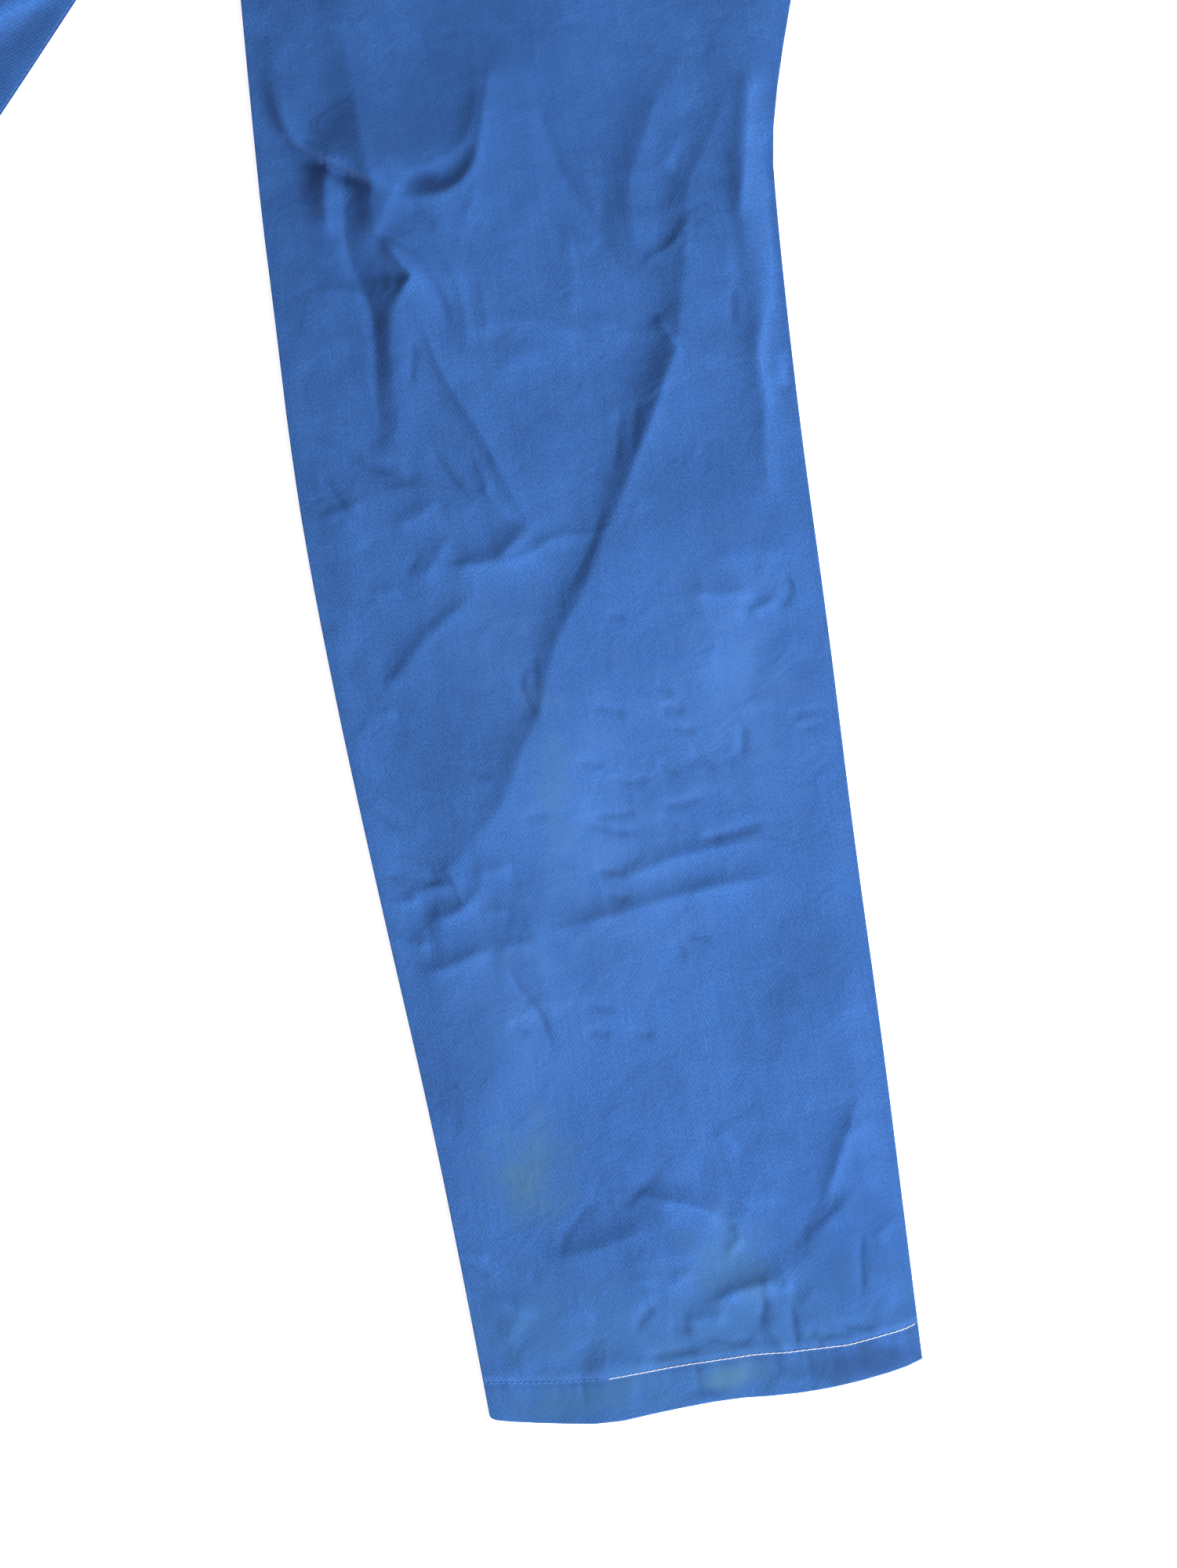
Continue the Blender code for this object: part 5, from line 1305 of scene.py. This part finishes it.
# Fly strip.
# A folded strip of twill, 38 mm wide, that covers the meeting edges from the neck to the seat.
# It is stitched down along both sides, with a worked buttonhole under each button.

FLY_TOP = 0.404
FLY_SEW = 0.0155
FLY_BARS = (0.004, 0.032)
STRIP_RISE = 0.0003
STRIP_CLOTH = 0.0005
# Edges turned in: step outwards, step up.
STRIP_TURN = ((0.0, -0.0006), (-0.0001, -0.0011), (-0.0070, -0.0011))

across = between(-FLY_HALF, FLY_HALF, 18, 0.0004, 0.001, 0.002)
up = between(FLY_END, FLY_TOP, 160, 0.0006, 0.0015)
plan = np.dstack(np.meshgrid(across, up))
flat_front = front_height(np.abs(plan[..., 0]) + 0.002, plan[..., 1], np.zeros(plan.shape[:2]))
off_band = smoothstep((np.abs(plan[..., 1]) - BAND_HALF) / 0.004)
flat_front += (1.0 - off_band) * BAND_RISE
height = flat_front + STRIP_RISE + WALL
ripple = np.sin(2.0 * math.pi * plan[..., 1] / 0.017 + 3.0 * np.sin(plan[..., 1] / 0.04))
height += RIPPLE * ripple * smoothstep(np.abs(plan[..., 0]) / 0.012)
height -= rounded(FLY_HALF - np.abs(plan[..., 0]), 0.0004, 0.001)
points = np.dstack([plan, height])
left_turn = [points[:, -1] + (step, 0.0, rise) for step, rise in STRIP_TURN]
right_turn = [points[:, 0] + (-step, 0.0, rise) for step, rise in STRIP_TURN[::-1]]
points = np.hstack([np.stack(right_turn, axis=1), points, np.stack(left_turn, axis=1)])[::-1]
strip = cloth_shell("fly_strip", points, points[..., :2], body_twill, thickness=STRIP_CLOTH)
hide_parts("placket")

for edge, side in (("left", 1.0), ("right", -1.0)):
    levels = np.linspace(FLY_END + FLY_BARS[0], FLY_TOP - FLY_BARS[0], 200)
    line = np.column_stack([np.full(200, side * FLY_SEW), levels])
    lockstitch("fly_stitch_" + edge, strip, line, blue_thread)
for number, level in enumerate(FLY_BARS, start=1):
    line = np.column_stack([np.linspace(-FLY_SEW, FLY_SEW, 20), np.full(20, FLY_END + level)])
    lockstitch("fly_bar_" + str(number), strip, line, blue_thread)

# Buttonholes: bound edges of close stitches on both sides of an upright slit.
BUTTON_PLACES = (0.385, 0.290, 0.195, 0.100, 0.000, -0.100, -0.190)
HOLE_LENGTH = 0.019
HOLE_ABOVE = 0.003
HOLE_PITCH = 0.0006
HOLE_SLIT = 0.0002
HOLE_HALF = 0.0016
for number, button_y in enumerate(BUTTON_PLACES, start=1):
    hole_top = button_y + HOLE_ABOVE
    ends = []
    for level in np.arange(hole_top - HOLE_LENGTH, hole_top, HOLE_PITCH):
        for side in (-1.0, 1.0):
            ends.append([
                np.array(strip.ray_cast((x, float(level), 1.0), (0.0, 0.0, -1.0))[1])
                for x in (HOLE_SLIT * side, HOLE_HALF * side)
            ])
    stitches("buttonhole_" + str(number), np.array(ends), blue_thread)


# Buttons.
# Seven pressed plastic buttons, 16 mm wide with four holes, sewn on at the fly strip.
# They lie just above the cloth on loops of thread.

BUTTON_RADIUS = 0.008
BUTTON_HEIGHT = 0.003
BUTTON_RIM = 0.0018
BUTTON_DISH = 0.0007
BUTTON_ROUND = 0.0004
WELL_RIM = 0.0008
WELL_DEPTH = 0.0002
BUTTON_HOLE = 0.0009
HOLE_SPREAD = 0.0016
LOOP_HALF = 0.00038
LOOP_SIDE = 0.0003
LOOP_SINK = 0.0011
LOOP_FLATTEN = 0.8
PLASTIC_DEEP = "1e3768"
PLASTIC_PALE = "294a85"


def pressed_plastic(name):
    """Pressed urea plastic: hard, smooth and a little glossy, with faint clouding."""
    material = bpy.data.materials.new(name)
    material.use_nodes = True
    tree = material.node_tree
    shader = tree.nodes["Principled BSDF"]
    shader.inputs["IOR"].default_value = 1.5
    shader.inputs["Coat Weight"].default_value = 0.2
    place = add_node(tree, "ShaderNodeTexCoord").outputs["Object"]
    cloud = add_node(tree, "ShaderNodeTexNoise", {"Scale": 160.0, "Detail": 3.0}, {"Vector": place})
    tint = add_node(tree, "ShaderNodeMix", {"data_type": "RGBA"}, {"Factor": cloud.outputs["Fac"]})
    tint.inputs["A"].default_value = linear(PLASTIC_DEEP)
    tint.inputs["B"].default_value = linear(PLASTIC_PALE)
    gloss = add_node(
        tree, "ShaderNodeMapRange", {"To Min": 0.28, "To Max": 0.45}, {"Value": cloud.outputs["Fac"]}
    )
    tree.links.new(tint.outputs["Result"], shader.inputs["Base Color"])
    tree.links.new(gloss.outputs["Result"], shader.inputs["Roughness"])
    return material


def flat_faces(thing, level):
    """Select the faces of a mesh that lie at one height."""
    for face in thing.data.polygons:
        face.select = abs(face.center.z - level) < 1e-5 and face.normal.z > 0.9


button_plastic = pressed_plastic("pressed_plastic")
bpy.ops.object.select_all(action="DESELECT")
bpy.ops.mesh.primitive_cylinder_add(
    vertices=48, radius=BUTTON_RADIUS, depth=BUTTON_HEIGHT, location=(0.0, 0.0, 0.5 * BUTTON_HEIGHT)
)
button = bpy.context.object
bpy.ops.object.transform_apply(location=True)
bpy.ops.object.mode_set(mode="EDIT")
bpy.ops.mesh.select_mode(type="FACE")
bpy.ops.object.mode_set(mode="OBJECT")
flat_faces(button, BUTTON_HEIGHT)
bpy.ops.object.mode_set(mode="EDIT")
bpy.ops.mesh.inset(thickness=BUTTON_RIM)
bpy.ops.transform.translate(value=(0.0, 0.0, -BUTTON_DISH))
bpy.ops.mesh.inset(thickness=WELL_RIM)
bpy.ops.transform.translate(value=(0.0, 0.0, -WELL_DEPTH))
bpy.ops.object.mode_set(mode="OBJECT")
edge = button.modifiers.new("pressed_edge", "BEVEL")
edge.width = BUTTON_ROUND
edge.segments = 3
edge.limit_method = "ANGLE"
bpy.ops.object.modifier_apply(modifier=edge.name)
punches = []
for x in (-HOLE_SPREAD, HOLE_SPREAD):
    for y in (-HOLE_SPREAD, HOLE_SPREAD):
        bpy.ops.mesh.primitive_cylinder_add(
            vertices=16, radius=BUTTON_HOLE, depth=3.0 * BUTTON_HEIGHT, location=(x, y, 0.0)
        )
        punches.append(bpy.context.object)
for punch in punches:
    hole = button.modifiers.new("hole", "BOOLEAN")
    hole.object = punch
    hole.operation = "DIFFERENCE"
bpy.ops.object.select_all(action="DESELECT")
bpy.context.view_layer.objects.active = button
button.select_set(True)
for hole in list(button.modifiers):
    bpy.ops.object.modifier_apply(modifier=hole.name)
for punch in punches:
    bpy.data.objects.remove(punch)
bpy.ops.object.shade_smooth_by_angle(angle=math.radians(35.0))
button.data.materials.append(button_plastic)

bpy.ops.object.select_all(action="DESELECT")
loops = []
for middle in (-HOLE_SPREAD, HOLE_SPREAD):
    for x in (middle - LOOP_SIDE, middle + LOOP_SIDE):
        bpy.ops.mesh.primitive_torus_add(
            major_segments=16, minor_segments=6, major_radius=HOLE_SPREAD, minor_radius=LOOP_HALF,
            location=(x, 0.0, 0.0), rotation=(0.0, math.pi / 2.0, 0.0),
        )
        loops.append(bpy.context.object)
for loop in loops:
    loop.select_set(True)
bpy.ops.object.join()
button_loops = bpy.context.object
bpy.ops.object.transform_apply(location=True, rotation=True)
stitch_top = BUTTON_HEIGHT - BUTTON_DISH
for vertex in button_loops.data.vertices:
    vertex.co.z = stitch_top - LOOP_SINK + vertex.co.z * LOOP_FLATTEN
bpy.ops.object.shade_smooth()
button_loops.data.materials.append(blue_thread)

for number, button_y in enumerate(BUTTON_PLACES, start=1):
    low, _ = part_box("button_" + str(number))
    for pattern, name, slot in (
        (button, "front_button_" + str(number), "button"),
        (button_loops, "button_thread_" + str(number), "twill"),
    ):
        piece = pattern.copy()
        piece.data = pattern.data.copy()
        piece.name = name
        for vertex in piece.data.vertices:
            vertex.co.y += button_y
            vertex.co.z += low[2]
        bpy.context.scene.collection.objects.link(piece)
        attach(piece, "root")
        if slot == "button":
            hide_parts("button_" + str(number))
bpy.data.objects.remove(button)
bpy.data.objects.remove(button_loops)


# Collar.
# A turned-down collar of doubled twill: wings that lie on the fronts, and a band round the neck.
# It is sewn into the neck edge, and its free edge is stitched 5 mm in.

COLLAR_CLEAR = 0.0005
COLLAR_CLOTH = 0.0006
COLLAR_LAYERS = 2.0 * WALL + GAP
SEAM_STEP = 0.003
SECTION_STEPS = 22
UNDER_STEPS = 5
COLLAR_SEW = 0.005
# Left half: seam x and y, lean in degrees, stand, fall, height of the fold.
COLLAR_ROWS = (
    (0.0148, 0.4163, 32.0, 0.020, 0.086, 0.0050),
    (0.0359, 0.4227, 38.0, 0.020, 0.066, 0.0048),
    (0.0601, 0.4390, 46.0, 0.020, 0.055, 0.0046),
    (0.0770, 0.4623, 57.0, 0.020, 0.052, 0.0044),
    (0.0842, 0.4856, 68.0, 0.020, 0.050, 0.0042),
    (0.0850, 0.4970, 76.0, 0.020, 0.046, 0.0041),
    (0.0800, 0.4948, 45.0, 0.024, 0.006, 0.0038),
    (0.0600, 0.4875, 22.0, 0.029, 0.005, 0.0018),
    (0.0300, 0.4804, 8.0, 0.031, 0.005, 0.0018),
    (0.0000, 0.4780, 0.0, 0.032, 0.005, 0.0018),
)
WING_ROWS = 6

left_rows = np.array(COLLAR_ROWS)
right_rows = left_rows[-2::-1] * (-1.0, 1.0, -1.0, 1.0, 1.0, 1.0)
collar_rows = np.vstack([left_rows, right_rows])
roll = 0.5 * COLLAR_LAYERS
arc = np.linspace(0.0, math.pi, 9)[1:-1]
sections, wing_sew = [], []
for number, (seam_x, seam_y, lean, stand, fall, fold) in enumerate(collar_rows):
    way = np.array([-math.sin(math.radians(lean)), math.cos(math.radians(lean))])
    # Across the collar: its turned edge, the outer face, the roll, and the inner face to the seam.
    top_steps = -fall + (fall + stand - roll) * np.linspace(0.0, 1.0, SECTION_STEPS)
    under_steps = np.linspace(stand - roll, SEAM_STEP, UNDER_STEPS)
    steps = np.concatenate([
        [-fall + 0.010 * min(1.0, fall / 0.03), -fall + 0.0003, -fall - 0.0003, -fall - 0.0004],
        top_steps, stand - roll + roll * np.sin(arc), under_steps,
    ])
    thick = WALL + (COLLAR_LAYERS - WALL) * smoothstep(top_steps / 0.004)
    above = np.concatenate([
        [0.0002, 0.0002, 0.0006, 0.0010], thick, roll + roll * np.cos(arc), np.zeros(UNDER_STEPS)
    ])
    places = np.array([seam_x, seam_y]) + steps[:, None] * way
    on_front = min(number, len(collar_rows) - 1 - number) < WING_ROWS
    base = np.full(len(steps), fold)
    if on_front:
        x, y = np.abs(places[:, 0]), places[:, 1]
        base = front_height(x, y, np.zeros(x.shape), sewn=()) + COLLAR_CLEAR
    low = base + smoothstep((steps - SEAM_STEP) / (stand - SEAM_STEP)) * (fold - base)
    sections.append(np.column_stack([places, low + above]))
    if on_front:
        wing_sew.append(np.array([seam_x, seam_y]) + (COLLAR_SEW - fall) * way)
sections = np.array(sections)
count, width = sections.shape[:2]
grown = softened(sections.reshape(count, -1), 3).reshape(-1, width, 3)
lengths = np.linalg.norm(np.diff(grown, axis=0, prepend=grown[:1]), axis=-1).cumsum(axis=0)
drops = np.linalg.norm(np.diff(grown, axis=1, prepend=grown[:, :1]), axis=-1).cumsum(axis=1)
collar_twill = cotton_twill("cotton_twill_collar", 0.0006)
collar = cloth_shell(
    "folded_collar", grown, np.dstack([lengths, drops]), collar_twill, thickness=COLLAR_CLOTH
)
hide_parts("collar")
wing_lines = {"left": wing_sew[:WING_ROWS], "right": wing_sew[WING_ROWS:]}
collar_seams = [
    lockstitch("collar_stitch_" + word, collar, softened(line), blue_thread)
    for word, line in wing_lines.items()
]


# The surface, the light and the camera.
# The suit lies on white acrylic lit from below, so its shadow on the surface hardly shows.
# It is seen from straight above, with a broad soft lamp at the picture's lower right.

VIEW_POINT = (0.289, -0.749)
VIEW_ROLL = math.radians(13.9)
VIEW_HEIGHT = 0.757
LENS = 70.0
SENSOR = 36.0
FLOOR_HALF = 6.0
FLOOR_DROP = 0.0002
GLOW = 0.72
DAYLIGHT = 0.33
LAMP_WATTS = 155.0
LAMP_SIZE = 1.2
LAMP_AWAY = 2.2
LAMP_HEIGHT = 1.55
LAMP_TURN = math.radians(-36.0)

floor_mesh = bpy.data.meshes.new("floor")
floor_corners = [
    (x * FLOOR_HALF, y * FLOOR_HALF, 0.0) for x, y in ((-1, -1), (1, -1), (1, 1), (-1, 1))
]
floor_mesh.from_pydata(floor_corners, [], [(0, 1, 2, 3)])
floor = bpy.data.objects.new("floor", floor_mesh)
bpy.context.scene.collection.objects.link(floor)
floor.location = (0.0, 0.0, -FLOOR_DROP)
# Opal acrylic sheet, matt: an even white that glows a little.
acrylic = bpy.data.materials.new("lit_white_acrylic")
acrylic.use_nodes = True
sheet_inputs = acrylic.node_tree.nodes["Principled BSDF"].inputs
sheet_inputs["Base Color"].default_value = linear("f4f4f4")
sheet_inputs["Roughness"].default_value = 0.95
sheet_inputs["Emission Color"].default_value = linear("ffffff")
sheet_inputs["Emission Strength"].default_value = GLOW
floor_mesh.materials.append(acrylic)

world = bpy.data.worlds.new("studio")
world.use_nodes = True
sky = world.node_tree.nodes["Background"].inputs
sky["Color"].default_value = (1.0, 1.0, 1.0, 1.0)
sky["Strength"].default_value = DAYLIGHT
bpy.context.scene.world = world
bpy.context.scene.view_settings.view_transform = "Standard"

lamp_data = bpy.data.lights.new("soft_lamp", "AREA")
lamp_data.shape = "RECTANGLE"
lamp_data.size = LAMP_SIZE
lamp_data.size_y = LAMP_SIZE
lamp_data.energy = LAMP_WATTS
lamp = bpy.data.objects.new("soft_lamp", lamp_data)
bpy.context.scene.collection.objects.link(lamp)
lamp_x = LAMP_AWAY * math.cos(VIEW_ROLL + LAMP_TURN)
lamp_y = LAMP_AWAY * math.sin(VIEW_ROLL + LAMP_TURN)
lamp.location = (VIEW_POINT[0] + lamp_x, VIEW_POINT[1] + lamp_y, LAMP_HEIGHT)
lamp.rotation_euler = (
    math.atan2(LAMP_AWAY, LAMP_HEIGHT), 0.0, math.atan2(-lamp_y, -lamp_x) - math.pi / 2.0
)

camera_data = bpy.data.cameras.new("camera")
camera_data.lens = LENS
camera_data.sensor_width = SENSOR
camera = bpy.data.objects.new("camera", camera_data)
bpy.context.scene.collection.objects.link(camera)
camera.location = (VIEW_POINT[0], VIEW_POINT[1], VIEW_HEIGHT * LENS / SENSOR)
camera.rotation_euler = (0.0, 0.0, VIEW_ROLL)
bpy.context.scene.camera = camera
